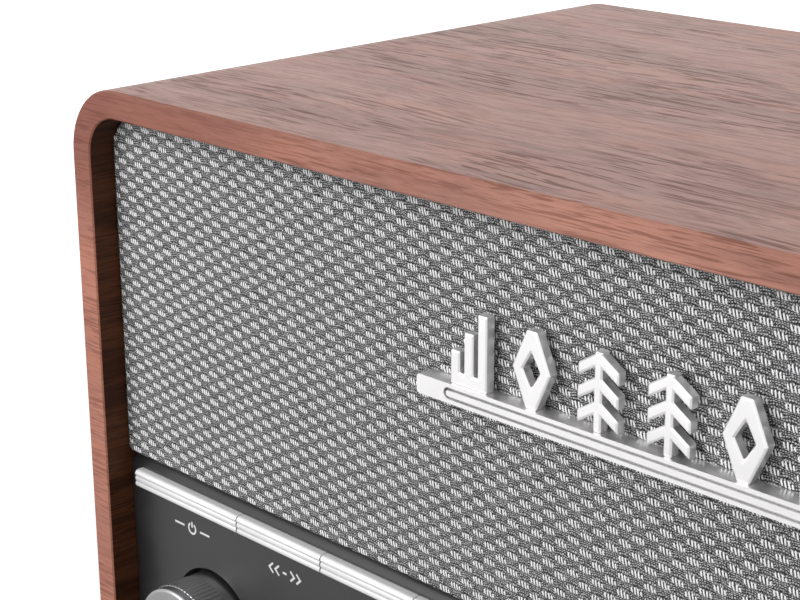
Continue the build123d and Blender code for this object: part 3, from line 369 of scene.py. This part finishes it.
def weave_ground():
    """Ground of the grille cloth: fine black, grey and silver yarns that bend round the white dots."""
    p = Paint("weave_ground")
    turn = p.times(p.x, math.pi / DOT_COLUMN)
    rise = p.times(p.math("SUBTRACT", p.z, CLOTH_MIDDLE_Z), math.pi / DOT_ROW)
    round_dots = p.times(p.math("COSINE", turn), p.math("COSINE", rise))
    fuzz = p.math("SUBTRACT", p.noise(p.mm, 1.5, 2, 0.7), 0.5)
    weft = p.plus(p.times(p.z, math.tau / WEFT_STEP), p.times(round_dots, 3.6), p.times(fuzz, 7))
    weft = p.math("SINE", weft)
    warp = p.plus(p.times(p.x, math.tau / WARP_STEP), p.times(p.z, 2.1), p.times(fuzz, 9))
    warp = p.math("SINE", warp)
    lines = p.plus(p.times(weft, p.plus(p.times(warp, 0.60), 0.60)), p.times(warp, 0.25))
    pepper = p.noise(p.mm, 3.2, 2, 0.8)
    share = p.plus(p.times(lines, 0.22), pepper)
    share = p.math("SUBTRACT", share, p.spread(round_dots, 0.55, 0.9, 0, 0.14))
    colour = p.ramp(
        share,
        [
            (0.32, (0.002, 0.002, 0.003)),
            (0.45, (0.058, 0.057, 0.060)),
            (0.58, (0.200, 0.199, 0.202)),
            (0.73, (0.60, 0.60, 0.605)),
        ],
    )
    # Painted shadow: its lower edge is turned under and lies in the gap above the panel, and is coloured near
    # black as shadow
    foot_shadow = p.spread(p.z, CLOTH_FOOT_Z + 0.75, CLOTH_FOOT_Z + 0.35)
    return p.finish(
        Base_Color=p.mix(foot_shadow, colour, (0.006, 0.006, 0.006)),
        Roughness=0.8,
        Specular_IOR_Level=0.2,
        Normal=p.bump(share, 0.0001, 0.6),
    )


def white_yarn():
    """Bright white floating threads with a fine twist."""
    p = Paint("white_yarn")
    twist = p.math("SINE", p.plus(p.times(p.z, 16), p.times(p.x, 22)))
    speck = p.noise(p.mm, 2.5, 2)
    return p.finish(
        Base_Color=p.mix(p.spread(speck, 0.3, 0.7), (0.97, 0.97, 0.975), (1.0, 1.0, 1.0)),
        Roughness=0.5,
        Sheen_Weight=0.4,
        Normal=p.bump(p.plus(twist, p.times(speck, 2)), 0.00003, 0.5),
    )


def smoked_glass():
    """Smoked window with a faint film of haze."""
    p = Paint("smoked_lens")
    haze = p.noise(p.mm, 0.05, 4, 0.6)
    return p.finish(
        Base_Color=p.mix(haze, (0.22, 0.22, 0.24), (0.30, 0.30, 0.32)),
        Roughness=0.0,
        IOR=1.22,
        Specular_Tint=(0.3, 0.3, 0.3),
        Transmission_Weight=0.97,
    )


def printed():
    """White silk-screen ink, slightly uneven."""
    p = Paint("print_white")
    speck = p.noise(p.mm, 5, 3, 0.7)
    colour = p.mix(p.spread(speck, 0.35, 0.7), (0.62, 0.62, 0.63), (0.78, 0.78, 0.79))
    return p.finish(Base_Color=colour, Roughness=0.5, Normal=p.bump(speck, 0.00001, 0.4))


def glowing():
    """Lit segments of the display."""
    p = Paint("display_glow")
    cell = p.noise(p.mm, 4, 2)
    return p.finish(
        Base_Color=(0.6, 0.7, 0.8),
        Roughness=0.5,
        Emission_Color=p.mix(p.spread(cell, 0.35, 0.65), (0.70, 0.86, 1.0), (0.85, 0.94, 1.0)),
        Emission_Strength=3.0,
    )


def circuit_board():
    """Green solder mask over faint copper tracks."""
    p = Paint("board_green")
    place = p.stretched(p.mm, (0.35, 0.35, 0.35))
    cells = p.add(
        "ShaderNodeTexVoronoi", {"Vector": place, "Scale": 1}, distance="MANHATTAN", feature="F1"
    )
    laps = p.math("FRACT", p.times(cells.outputs["Distance"], 4))
    lines = p.spread(laps, 0.42, 0.5)
    speck = p.noise(p.mm, 1.6, 2)
    colour = p.mix(lines, (0.010, 0.10, 0.045), (0.022, 0.19, 0.085))
    colour = p.mix(p.spread(speck, 0.62, 0.66, 0, 0.5), colour, (0.6, 0.6, 0.58))
    return p.finish(Base_Color=colour, Roughness=0.35, Normal=p.bump(lines, 0.00004, 0.6))


def cone_paper():
    """Black pulp paper of a loudspeaker cone with fine fibres."""
    p = Paint("cone_paper")
    fibre = p.noise(p.stretched(p.mm, (1, 1, 2.5)), 1.8, 5, 0.75)
    colour = p.mix(p.spread(fibre, 0.3, 0.75), (0.018, 0.018, 0.019), (0.075, 0.072, 0.07))
    return p.finish(Base_Color=colour, Roughness=0.85, Normal=p.bump(fibre, 0.0001, 0.6))


def wound_tape():
    """Amber tape wound round the transformer's coil."""
    p = Paint("winding")
    laps = p.math("SINE", p.times(p.z, 1.9))
    cloud = p.noise(p.mm, 0.4, 3)
    share = p.spread(p.plus(laps, p.times(cloud, 2)), -1, 2.5)
    return p.finish(
        Base_Color=p.mix(share, (0.30, 0.13, 0.03), (0.55, 0.29, 0.09)),
        Roughness=0.42,
        Normal=p.bump(laps, 0.0001, 0.4),
    )


# Painted shade in the keys' grooves, painted light on the keys' upper rim, and painted shade in the badge
# bar's groove, as metal() takes them
KEY_GROOVE_SHADE = (-101.42, -101.22, 89.45, 0.55)
KEY_TOP_LIGHT = (88.3, 88.9, (0.98, 0.98, 0.98))
BAR_SLOT_SHADE = (-104.5, -104.1, 153.2, 0.40)

LOOKS = {
    "walnut": walnut(),
    "bare_wood": bare_wood(),
    "black_plastic": moulded(
        "black_plastic", (0.014, 0.014, 0.015), (0.034, 0.034, 0.036), rough=0.52, scale=1.6, depth=0.00012
    ),
    "weave": weave_ground(),
    "silver_trim": metal(
        "silver_trim",
        (0.75, 0.75, 0.75),
        (0.81, 0.81, 0.81),
        rough=0.42,
        stretch=(0.3, 2, 2),
        depth=0.000004,
        metallic=0.15,
        groove_shade=KEY_GROOVE_SHADE,
        top_light=KEY_TOP_LIGHT,
    ),
    "dark_panel": moulded(
        "dark_panel",
        (0.018, 0.018, 0.019),
        (0.029, 0.029, 0.030),
        rough=0.34,
        scale=3.0,
        depth=0.000008,
        level=0.6,
    ),
    "smoked_lens": smoked_glass(),
    "screen": moulded(
        "screen",
        (0.006, 0.008, 0.012),
        (0.012, 0.015, 0.022),
        rough=0.30,
        scale=0.6,
        depth=0.000003,
        level=0.1,
    ),
    "board_green": circuit_board(),
    "knob_metal": metal(
        "knob_metal",
        (0.34, 0.34, 0.345),
        (0.52, 0.52, 0.53),
        rough=0.33,
        stretch=(1, 12, 1),
        depth=0.000006,
        scale=1.0,
    ),
    "bright_steel": metal(
        "bright_steel",
        (0.70, 0.70, 0.71),
        (0.86, 0.86, 0.87),
        rough=0.14,
        stretch=(0.06, 3, 3),
        depth=0.000003,
    ),
    "pressed_steel": metal(
        "pressed_steel",
        (0.28, 0.28, 0.29),
        (0.46, 0.46, 0.47),
        rough=0.40,
        stretch=(1, 1, 0.2),
        depth=0.00002,
    ),
    "cone_paper": cone_paper(),
    "rubber": moulded(
        "rubber", (0.014, 0.014, 0.014), (0.036, 0.036, 0.036), rough=0.72, scale=2.0, depth=0.0001
    ),
    "sink_alloy": metal(
        "sink_alloy",
        (0.50, 0.50, 0.51),
        (0.66, 0.66, 0.67),
        rough=0.42,
        stretch=(1, 1, 0.1),
        depth=0.00001,
    ),
    "winding": wound_tape(),
    "rocker_black": moulded(
        "rocker_black", (0.010, 0.010, 0.011), (0.020, 0.020, 0.021), rough=0.22, scale=1.2, depth=0.00001
    ),
}
BADGE = metal(
    "badge_metal",
    (0.88, 0.87, 0.87),
    (0.94, 0.93, 0.93),
    rough=0.35,
    stretch=(0.5, 1, 1),
    depth=0.000005,
    metallic=0.95,
    groove_shade=BAR_SLOT_SHADE,
)
PRINT = printed()
GLOW = glowing()
YARN = white_yarn()

for piece in frame["record"]["subparts"]:
    node = nodes[piece["node"]]
    node.data.materials.clear()
    badge = piece["node"].startswith("badge")
    node.data.materials.append(BADGE if badge else LOOKS[piece["material_slot"]])


def round_edges(node, width):
    """Softens the sharp edges of a carried-over part with modifiers."""
    weld = nodes[node].modifiers.new("weld", "WELD")
    weld.merge_threshold = 0.001 * MM
    bevel = nodes[node].modifiers.new("bevel", "BEVEL")
    bevel.width = width
    bevel.segments = 2
    bevel.limit_method = "ANGLE"
    bevel.angle_limit = math.radians(35)
    bevel.harden_normals = True


KEYS = [f"key_{number:02d}" for number in range(1, 11)]
round_edges("badge_bar", 0.35 * MM)
round_edges("badge_motifs", 0.3 * MM)
for key in KEYS:
    round_edges(key, 0.25 * MM)


def new_piece(name, points, faces, material, body="cabinet", smooth=False):
    """A mesh from points and faces in metres, riding on a body."""
    mesh = bpy.data.meshes.new(name)
    mesh.from_pydata([tuple(map(float, v)) for v in points], [], [tuple(map(int, f)) for f in faces])
    mesh.materials.append(material)
    mesh.validate()
    if smooth:
        mesh.shade_smooth()
    else:
        mesh.shade_flat()
    piece = link(bpy.data.objects.new(name, mesh))
    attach(piece, body)
    return piece


# Grille cloth: a ground sheet with low relief, and white floating threads in slanted groups of four
TOP_RADIUS = 11.7 * MM
LOW_RADIUS = 2.0 * MM
GROUND_STEP = 0.5 * MM
EDGE_STEPS = np.array([0.02, 0.07, 0.15, 0.27, 0.42, 0.6, 0.8, 1.25, 1.75]) * MM
GROUND_RELIEF = 0.05 * MM
RELIEF_STEP = 0.9 * MM
RELIEF_SLANT = 0.8
PIN_X = 20 * MM
PIN_HOLE = 1.6 * MM
bar_low, bar_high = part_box("badge_bar")


def cloth_edges(x):
    """Lowest and highest z of the cloth at each x."""
    edge = (cloth_high.x - cloth_low.x) / 2 - np.abs(x)

    def rounding(radius):
        return np.sqrt(np.clip(radius**2 - np.clip(radius - edge, 0, None) ** 2, 0, None)) - radius

    return cloth_low.z - rounding(LOW_RADIUS), cloth_high.z + rounding(TOP_RADIUS)


def make_ground():
    """The cloth's ground, with its edge turned back round the grille frame."""
    columns = int(round((cloth_high.x - cloth_low.x) / GROUND_STEP)) + 1
    rows = int(round((cloth_high.z - cloth_low.z) / GROUND_STEP)) + 1
    x = np.linspace(cloth_low.x, cloth_high.x, columns)
    x = np.unique(np.concatenate([x, cloth_low.x + EDGE_STEPS, cloth_high.x - EDGE_STEPS]))
    columns = len(x)
    low, top = cloth_edges(x)
    share = np.linspace(0, 1, rows)
    gx = np.repeat(x[:, None], rows, 1)
    gz = low[:, None] + (top - low)[:, None] * share[None, :]
    one = np.sin((gx + RELIEF_SLANT * gz) * math.pi / RELIEF_STEP)
    two = np.sin((gx - RELIEF_SLANT * gz) * math.pi / RELIEF_STEP)
    gy = cloth_low.y - GROUND_RELIEF * one * two
    border = np.zeros((columns, rows), bool)
    border[0] = border[-1] = True
    border[:, 0] = border[:, -1] = True
    gy[border] = cloth_high.y
    points = np.stack([gx, gy, gz], -1).reshape(-1, 3)
    index = np.arange(columns * rows).reshape(columns, rows)
    faces = np.stack([index[:-1, :-1], index[1:, :-1], index[1:, 1:], index[:-1, 1:]], -1)
    # The badge's two pins pass through holes in the cloth
    pin_z = (bar_low.z + bar_high.z) / 2
    mid_x = (gx[:-1, :-1] + gx[1:, 1:]) / 2
    mid_z = (gz[:-1, :-1] + gz[1:, 1:]) / 2
    hole = (np.abs(np.abs(mid_x) - PIN_X) < PIN_HOLE) & (np.abs(mid_z - pin_z) < PIN_HOLE)
    return new_piece("grille_cloth_ground", points, faces[~hole], LOOKS["weave"], smooth=True)


# Threads, in mm: the four of a dot by x from its middle, half length and height above its middle
THREAD_OFFSETS = (-1.40, -0.47, 0.46, 1.34)
THREAD_HALVES = (0.70, 0.96, 0.90, 0.62)
THREAD_DROPS = (0.10, 0.02, -0.02, -0.12)
THREAD_HALF_WIDTH = 0.245
THREAD_RISE = 0.30
THREAD_LEAN = 0.25
THREAD_STEPS = 6
THREAD_SIDES = 4
THREAD_JITTER = 0.05
SHORTEST_THREAD = 0.5
LOW_MARGIN = 0.6
TOP_MARGIN = 0.1
SIDE_MARGIN = 0.3
BAR_MARGIN = 0.4
END_DIP = 0.05
MOST_COLUMNS = 52
MOST_ROWS = 26


def place_threads():
    """Middle x and z, and lowest and highest z, of each thread that the cloth shows, in metres."""
    half_x = (cloth_high.x - cloth_low.x) / 2
    middle = (cloth_low.z + cloth_high.z) / 2
    centres, halves = [], []
    for i in range(-MOST_COLUMNS, MOST_COLUMNS + 1):
        for j in range(-MOST_ROWS, MOST_ROWS + 1):
            if (i + j) % 2:
                continue
            for offset, half, drop in zip(THREAD_OFFSETS, THREAD_HALVES, THREAD_DROPS):
                centres.append(((i * DOT_COLUMN + offset) * MM, middle + (j * DOT_ROW + drop) * MM))
                halves.append(half * MM)
    centres, halves = np.array(centres), np.array(halves)
    centres += rng.uniform(-THREAD_JITTER, THREAD_JITTER, centres.shape) * MM
    halves *= rng.uniform(0.88, 1.1, halves.shape)
    low, top = cloth_edges(np.clip(centres[:, 0], -half_x, half_x))
    start = np.maximum(centres[:, 1] - halves, low + LOW_MARGIN * MM)
    end = np.minimum(centres[:, 1] + halves, top - TOP_MARGIN * MM)
    aside = np.abs(centres[:, 0])
    keep = (end - start > SHORTEST_THREAD * MM) & (aside < half_x - SIDE_MARGIN * MM)
    # None lies behind the badge's bar
    in_bar = (end < bar_high.z + BAR_MARGIN * MM) & (start > bar_low.z - BAR_MARGIN * MM)
    keep &= ~(in_bar & (aside < bar_high.x))
    return centres[keep, 0], start[keep], end[keep]


def make_threads():
    """Four upright floats in each dot of the weave, each an arched half tube."""
    centre_x, start, end = place_threads()
    count = len(centre_x)
    t = np.linspace(-1, 1, THREAD_STEPS)
    bow = np.sqrt(np.clip(1 - t**2, 0, 1))
    around = np.linspace(0, math.pi, THREAD_SIDES)
    lean = THREAD_LEAN * rng.uniform(0.6, 1.4, count)
    mid, half = (start + end) / 2, (end - start) / 2
    rise = THREAD_RISE * MM * rng.uniform(0.85, 1.15, count)
    z = mid[:, None] + half[:, None] * t[None, :]
    spine_x = centre_x[:, None] - lean[:, None] * half[:, None] * t[None, :]
    width = THREAD_HALF_WIDTH * MM * (0.45 + 0.55 * bow)
    x = spine_x[:, :, None] - width[None, :, None] * np.cos(around)[None, None, :]
    height = rise[:, None] * (bow[None, :] ** 0.6 - 0.25)
    y = cloth_low.y - height[:, :, None] * (0.25 + 0.75 * np.sin(around))[None, None, :]
    # Both ends dip under the ground
    y[:, (0, -1), :] = cloth_low.y + END_DIP * MM
    z = np.repeat(z[:, :, None], THREAD_SIDES, 2)
    points = np.stack([x, y, z], -1).reshape(-1, 3)
    index = np.arange(count * THREAD_STEPS * THREAD_SIDES).reshape(count, THREAD_STEPS, THREAD_SIDES)
    corners = [index[:, :-1, :-1], index[:, :-1, 1:], index[:, 1:, 1:], index[:, 1:, :-1]]
    faces = np.stack(corners, -1).reshape(-1, 4)
    return new_piece("grille_cloth_threads", points, faces, YARN, smooth=True)


ground = make_ground()
threads = make_threads()
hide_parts("grille_cloth")


# Flat strokes: printed symbols, numbers, lit segments, and black strokes as painted shade for the screws'
# slots
def stroke_sides(path, width):
    """Both sides of a stroke of even width along a flat path."""
    path = np.array(path, float)
    ahead = np.roll(path, -1, 0) - path
    back = path - np.roll(path, 1, 0)
    ahead[-1] = back[-1]
    back[0] = ahead[0]
    ahead /= np.linalg.norm(ahead, axis=1)[:, None]
    back /= np.linalg.norm(back, axis=1)[:, None]
    mitre = ahead + back
    mitre /= np.linalg.norm(mitre, axis=1)[:, None]
    side = np.stack([-mitre[:, 1], mitre[:, 0]], 1)
    reach = width / 2 / np.clip((mitre * ahead).sum(1), 0.6, 1)
    return path + side * reach[:, None], path - side * reach[:, None]


def make_strokes(name, strokes, front_y, back_y, material, body="cabinet"):
    """Thin raised strokes on a plane of even y; each is (path, width), in mm."""
    points, faces = [], []
    for path, width in strokes:
        first = len(points)
        for a, b in zip(*stroke_sides(path, width)):
            for (x, z), y in ((a, front_y), (b, front_y), (b, back_y), (a, back_y)):
                points.append((x * MM, y * MM, z * MM))
        last = len(points) - 4
        for here in range(first, last, 4):
            for corner in range(4):
                turn = (corner + 1) % 4
                faces.append((here + corner, here + turn, here + 4 + turn, here + 4 + corner))
        faces.append((first + 3, first + 2, first + 1, first))
        faces.append((last, last + 1, last + 2, last + 3))
    piece = new_piece(name, points, faces, material, body)
    shape = bmesh.new()
    shape.from_mesh(piece.data)
    bmesh.ops.recalc_face_normals(shape, faces=shape.faces)
    shape.to_mesh(piece.data)
    shape.free()
    return piece


def arc(radius, start, end, steps=24):
    """Points on a circle about the origin; angles in degrees from +X towards +Z."""
    angles = np.radians(np.linspace(start, end, steps))
    return [(radius * math.cos(a), radius * math.sin(a)) for a in angles]


def shifted(path, x, z):
    return [(a + x, b + z) for a, b in path]


# Paths of the numbers and symbols under the keys, about their own middle, in mm
DIGITS = [
    [[(-0.75, 1.05), (0.15, 1.75), (0.15, -1.75)]],
    [
        [(-1.05, 0.95), (-0.7, 1.55), (0, 1.75), (0.7, 1.55)]
        + [(1.0, 0.95), (0.75, 0.25), (-1.05, -1.7), (1.1, -1.7)],
    ],
    [
        [(-1.0, 1.35), (-0.3, 1.75), (0.55, 1.6), (0.95, 0.95), (0.55, 0.25), (-0.25, 0.1)],
        [(-0.25, 0.1), (0.65, -0.1), (1.05, -0.85), (0.65, -1.55), (-0.3, -1.75), (-1.05, -1.35)],
    ],
    [[(0.6, -1.75), (0.6, 1.7), (-1.15, -0.75), (1.2, -0.75)]],
    [
        [(1.0, 1.7), (-0.8, 1.7), (-0.9, 0.2), (0.15, 0.45), (0.85, 0.1)]
        + [(1.05, -0.65), (0.65, -1.5), (-0.2, -1.75), (-1.05, -1.4)],
    ],
]
POWER = [arc(1.6, 122, 418), [(0, 0.3), (0, 2.1)], [(-8, 0), (-3.6, 0)], [(3.6, 0), (8, 0)]]
SCAN = [
    [(-2.4, 1.5), (-4.0, 0), (-2.4, -1.5)],
    [(-4.9, 1.5), (-6.5, 0), (-4.9, -1.5)],
    [(-0.8, 0), (0.8, 0)],
    [(2.4, 1.5), (4.0, 0), (2.4, -1.5)],
    [(4.9, 1.5), (6.5, 0), (4.9, -1.5)],
]
MINUS = [[(-1.7, 0), (1.7, 0)]]
PLUS = [[(-1.7, 0), (1.7, 0)], [(0, 1.7), (0, -1.7)]]
MENU = [[(-1.8, z), (1.8, z)] for z in (1.4, 0, -1.4)]
SYMBOLS = [POWER, SCAN, *DIGITS, MINUS, PLUS, MENU]
PRINT_WIDTH = 0.64
INK_RISE = 0.03
PRINT_Z = 77.3
PANEL_Y = -99.0
strokes = []
for key, symbol in zip(KEYS, SYMBOLS):
    key_low, key_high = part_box(key)
    centre = (key_low.x + key_high.x) / 2 / MM
    strokes += [(shifted(path, centre, PRINT_Z), PRINT_WIDTH) for path in symbol]
make_strokes("key_symbols", strokes, PANEL_Y - INK_RISE, PANEL_Y + 0.05, PRINT)


# Display behind the lens: a clock in bar digits, a station number, a level meter, two rules and a scale
SEGMENTS = {"0": "abcdef", "1": "bc", "2": "abged", "4": "fgbc", "8": "abcdefg"}
BAR_PLACES = {
    "a": ((0.12, 1), (0.88, 1)),
    "b": ((1, 0.94), (1, 0.56)),
    "c": ((1, 0.44), (1, 0.06)),
    "d": ((0.12, 0), (0.88, 0)),
    "e": ((0, 0.44), (0, 0.06)),
    "f": ((0, 0.94), (0, 0.56)),
    "g": ((0.12, 0.5), (0.88, 0.5)),
}
WINDOW_Z = 49.0
SCREEN_Y = -96.0
DIGITS_Z = WINDOW_Z - 7.5
METER_X = 33
METER_STEP = 3
METER_BARS = 6
METER_WIDTH = 1.7
METER_FOOT_Z = WINDOW_Z + 3
METER_TOP_Z = WINDOW_Z + 4.4
METER_RISE = 0.9
RULE_HALF_LENGTH = 52
RULE_WIDTH = 0.35
UPPER_RULE_Z = WINDOW_Z + 12
LOWER_RULE_Z = WINDOW_Z - 12.5
SCALE_HALF_LENGTH = 50
TICK_STEP = 5
TICK_WIDTH = 0.3
SHORT_TICK_Z = WINDOW_Z - 10.6
LONG_TICK_Z = WINDOW_Z - 9.8


def clock_strokes(text, x, z, width, height, gap, bar):
    """Bar digits from a left edge at x, standing on z; a colon is two short bars."""
    made = []
    for sign in text:
        if sign == ":":
            for level in (z + 0.3 * height, z + 0.7 * height):
                made.append(([(x - bar / 2, level), (x + bar / 2, level)], bar))
            x += gap
            continue
        for bar_name in SEGMENTS[sign]:
            made.append(([(x + a * width, z + b * height) for a, b in BAR_PLACES[bar_name]], bar))
        x += width + gap
    return made


lit = clock_strokes("10:24", -38, DIGITS_Z, width=8.0, height=14.5, gap=4.4, bar=1.5)
lit += clock_strokes("8", 33.5, DIGITS_Z, width=4.0, height=7.0, gap=2.0, bar=0.8)
for step in range(METER_BARS):
    x = METER_X + METER_STEP * step
    lit.append(([(x, METER_FOOT_Z), (x, METER_TOP_Z + METER_RISE * step)], METER_WIDTH))
for z in (UPPER_RULE_Z, LOWER_RULE_Z):
    lit.append(([(-RULE_HALF_LENGTH, z), (RULE_HALF_LENGTH, z)], RULE_WIDTH))
for x in range(-SCALE_HALF_LENGTH, SCALE_HALF_LENGTH + 1, TICK_STEP):
    top_z = SHORT_TICK_Z if x % (2 * TICK_STEP) else LONG_TICK_Z
    lit.append(([(x, LOWER_RULE_Z), (x, top_z)], TICK_WIDTH))
make_strokes("display_digits", lit, SCREEN_Y - 0.06, SCREEN_Y + 0.04, GLOW)


# Knobs: fine upright ribs round the side, and a white pointer line on the volume knob's face
RIBS = 72
RIB_STEPS = (0.0, 1.0, 1.0, 0.0)
GRIP_LEVELS = ((2.6, -0.15), (3.0, 0.22), (11.2, 0.22), (11.6, -0.15))
POINTER_ANGLE = math.radians(225)
POINTER_RADII = (8.5, 14.2)
POINTER_WIDTH = 0.9


def strips(rings, around):
    """Faces between rings of points, each ring closed on itself."""
    faces = []
    for ring in range(rings - 1):
        for step in range(around):
            turn = (step + 1) % around
            here, there = ring * around, (ring + 1) * around
            faces.append((here + step, here + turn, there + turn, there + step))
    return faces


def make_knob_grip(name, knob, body):
    """A ring of ribs that stands just proud of the knob's side; a level is (depth, rise) in mm."""
    low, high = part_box(knob)
    centre = (low + high) / 2
    radius = (high.x - low.x) / 2
    around = RIBS * len(RIB_STEPS)
    points = []
    for depth, rise in GRIP_LEVELS:
        for step in range(around):
            angle = math.tau * step / around
            crest = RIB_STEPS[step % len(RIB_STEPS)]
            r = radius + (rise * (0.35 + 0.65 * crest) if rise > 0 else rise) * MM
            points.append(
                (centre.x + r * math.cos(angle), low.y + depth * MM, centre.z + r * math.sin(angle))
            )
    faces = strips(len(GRIP_LEVELS), around)
    return new_piece(name, points, faces, LOOKS["knob_metal"], body)


make_knob_grip("volume_knob_grip", "volume_knob", "volume_dial")
make_knob_grip("tuning_knob_grip", "tuning_knob", "tuning_dial")
knob_low, knob_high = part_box("volume_knob")
knob_x, knob_z = (knob_low.x + knob_high.x) / 2 / MM, (knob_low.z + knob_high.z) / 2 / MM
knob_y = knob_low.y / MM
pointer = [
    (math.cos(POINTER_ANGLE) * radius + knob_x, math.sin(POINTER_ANGLE) * radius + knob_z)
    for radius in POINTER_RADII
]
make_strokes(
    "volume_pointer",
    [(pointer, POINTER_WIDTH)],
    knob_y - 0.01,
    knob_y + 0.1,
    PRINT,
    "volume_dial",
)


# Back: coloured insulators and collars in the sockets, a nut on the earphone socket, and black strokes on the
# screws as painted shade for their slots
PHONO_X = (-39, -15)
EARPHONE_X = 9
SOCKET_Z = 29.6
INSULATOR = (1.75, 3.3, 0.36)
COLLAR = (4.2, 6.2, 0.9)
NUT = (4.2, 6.4, 2.2)
SCREW_PLACES = ((-135, 191.9), (0, 191.9), (135, 191.9), (-153, 20.1), (153, 20.1))
SLOT_HALF = 1.9
SLOT_WIDTH = 0.75


def make_ring(name, x, y, size, material, sides=40):
    """A flat ring with bevelled rims round a socket; its size is two radii and a height, in mm."""
    inner, outer, height = size
    rim = min(height, outer - inner) * 0.3
    profile = (
        (inner, 0.0),
        (inner, height - rim),
        (inner + rim, height),
        (outer - rim, height),
        (outer, height - rim),
        (outer, 0.0),
    )
    points = []
    for step in range(sides):
        angle = math.tau * (step + 0.5) / sides
        for radius, rise in profile:
            place = (x + radius * math.cos(angle), y + rise, SOCKET_Z + radius * math.sin(angle))
            points.append(tuple(value * MM for value in place))
    count = len(profile)
    faces = []
    for step in range(sides):
        here, there = step * count, (step + 1) % sides * count
        for corner in range(count):
            turn = (corner + 1) % count
            faces.append((here + corner, here + turn, there + turn, there + corner))
    return new_piece(name, points, faces, material)


WHITE = moulded(
    "white_plastic", (0.66, 0.66, 0.64), (0.76, 0.76, 0.74), rough=0.4, scale=2.0, depth=0.00001
)
RED = moulded(
    "red_plastic", (0.40, 0.012, 0.012), (0.52, 0.025, 0.022), rough=0.4, scale=2.0, depth=0.00001
)
STEEL = LOOKS["bright_steel"]
jack_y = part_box("rear_jacks")[1].y / MM
plate_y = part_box("jack_plate")[1].y / MM
for number, (x, material) in enumerate(zip(PHONO_X, (WHITE, RED)), 1):
    name = f"phono_insulator_{number}"
    make_ring(name, x, jack_y - 0.3, INSULATOR, material)
for number, x in enumerate(PHONO_X, 1):
    make_ring(f"phono_collar_{number}", x, plate_y, COLLAR, STEEL)
make_ring("earphone_nut", EARPHONE_X, plate_y, NUT, STEEL, sides=6)
head_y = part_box("back_screws")[1].y / MM
# Painted shade: each screw's slot is a black cross of strokes on its head, not a cut
slot_shade_strokes = []
for x, z in SCREW_PLACES:
    slot_shade_strokes.append(([(x - SLOT_HALF, z), (x + SLOT_HALF, z)], SLOT_WIDTH))
    slot_shade_strokes.append(([(x, z - SLOT_HALF), (x, z + SLOT_HALF)], SLOT_WIDTH))
make_strokes("screw_slot_shades", slot_shade_strokes, head_y + 0.03, head_y - 0.1, LOOKS["rubber"])


MARK_WIDTH = 0.5


def mark_rocker(name, above, path):
    """A printed mark in the middle of one of the rocker's two flats."""
    low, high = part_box("switch_rocker")
    middle = (low.z + high.z) / 2
    faces = nodes["switch_rocker"].data.polygons
    flat = [face for face in faces if face.normal.y > 0.8 and (face.center.z > middle) == above]
    area = sum(face.area for face in flat)
    centre = sum((face.center * face.area for face in flat), Vector()) / area
    normal = sum((face.normal * face.area for face in flat), Vector()) / area
    mark = make_strokes(name, [(path, MARK_WIDTH)], INK_RISE, -0.05, PRINT, "power_rocker")
    tilt = Matrix.Rotation(math.atan2(normal.z, normal.y), 4, "X")
    mark.data.transform(Matrix.Translation(centre) @ tilt)


mark_rocker("rocker_mark_off", True, arc(1.3, 0, 360))
mark_rocker("rocker_mark_on", False, [(0, -1.4), (0, 1.4)])


# Studio: a pale floor, a white surround and soft lamps; a lamp is its place, side and power
FLOOR_HALF = 4.0
LAMPS = {"key": ((-0.70, -1.50, 0.90), 1.2, 22.4), "rear": ((1.1, 1.2, 1.1), 1.3, 7)}
LAMPS_AIM = Vector((0, 0, 0.1))


def make_floor():
    """The floor glows towards white away from the object, for the camera, and less in mirrors."""
    mesh = bpy.data.meshes.new("floor")
    corners = [(-1, -1), (1, -1), (1, 1), (-1, 1)]
    mesh.from_pydata([(FLOOR_HALF * x, FLOOR_HALF * y, 0) for x, y in corners], [], [(0, 1, 2, 3)])
    floor = link(bpy.data.objects.new("floor", mesh))
    p = Paint("floor")
    cloud = p.noise(p.mm, 0.004, 3)
    ray = p.add("ShaderNodeLightPath").outputs
    away = p.math("SQRT", p.plus(p.times(p.x, p.x), p.times(p.y, p.y)))
    seen = p.times(ray["Is Camera Ray"], p.spread(away, 350, 1200, 0.46, 0.95))
    mirrored = p.math("MAXIMUM", ray["Is Glossy Ray"], ray["Is Transmission Ray"])
    mirrored = p.times(mirrored, p.spread(away, 450, 1500, 0.08, 0.4))
    p.finish(
        Base_Color=p.mix(cloud, (0.80, 0.80, 0.80), (0.84, 0.84, 0.84)),
        Roughness=0.9,
        Specular_IOR_Level=0.1,
        Emission_Color=(1.0, 1.0, 1.0),
        Emission_Strength=p.plus(seen, mirrored),
    )
    mesh.materials.append(p.material)


def make_surround():
    """The world is white to the camera, in mirrors and through glass, and weaker as a light."""
    world = bpy.data.worlds.new("world")
    bpy.context.scene.world = world
    world.use_nodes = True
    w = Nodes(world.node_tree)
    ray = w.add("ShaderNodeLightPath").outputs
    straight = w.math("MAXIMUM", ray["Is Camera Ray"], ray["Is Glossy Ray"])
    straight = w.math("MAXIMUM", straight, ray["Is Transmission Ray"])
    back = w.tree.nodes["Background"].inputs
    back["Color"].default_value = (1, 1, 1, 1)
    w.feed(back["Strength"], w.spread(straight, 0, 1, 0.40, 1.0, soft=False))


def make_lamps():
    for name, (place, side, power) in LAMPS.items():
        data = bpy.data.lights.new(name, "AREA")
        data.shape = "SQUARE"
        data.size = side
        data.energy = power
        lamp = link(bpy.data.objects.new(name, data))
        lamp.location = place
        lamp.rotation_euler = (LAMPS_AIM - Vector(place)).to_track_quat("-Z", "Y").to_euler()


make_camera()
make_floor()
make_surround()
make_lamps()
bpy.context.scene.view_settings.view_transform = "Standard"
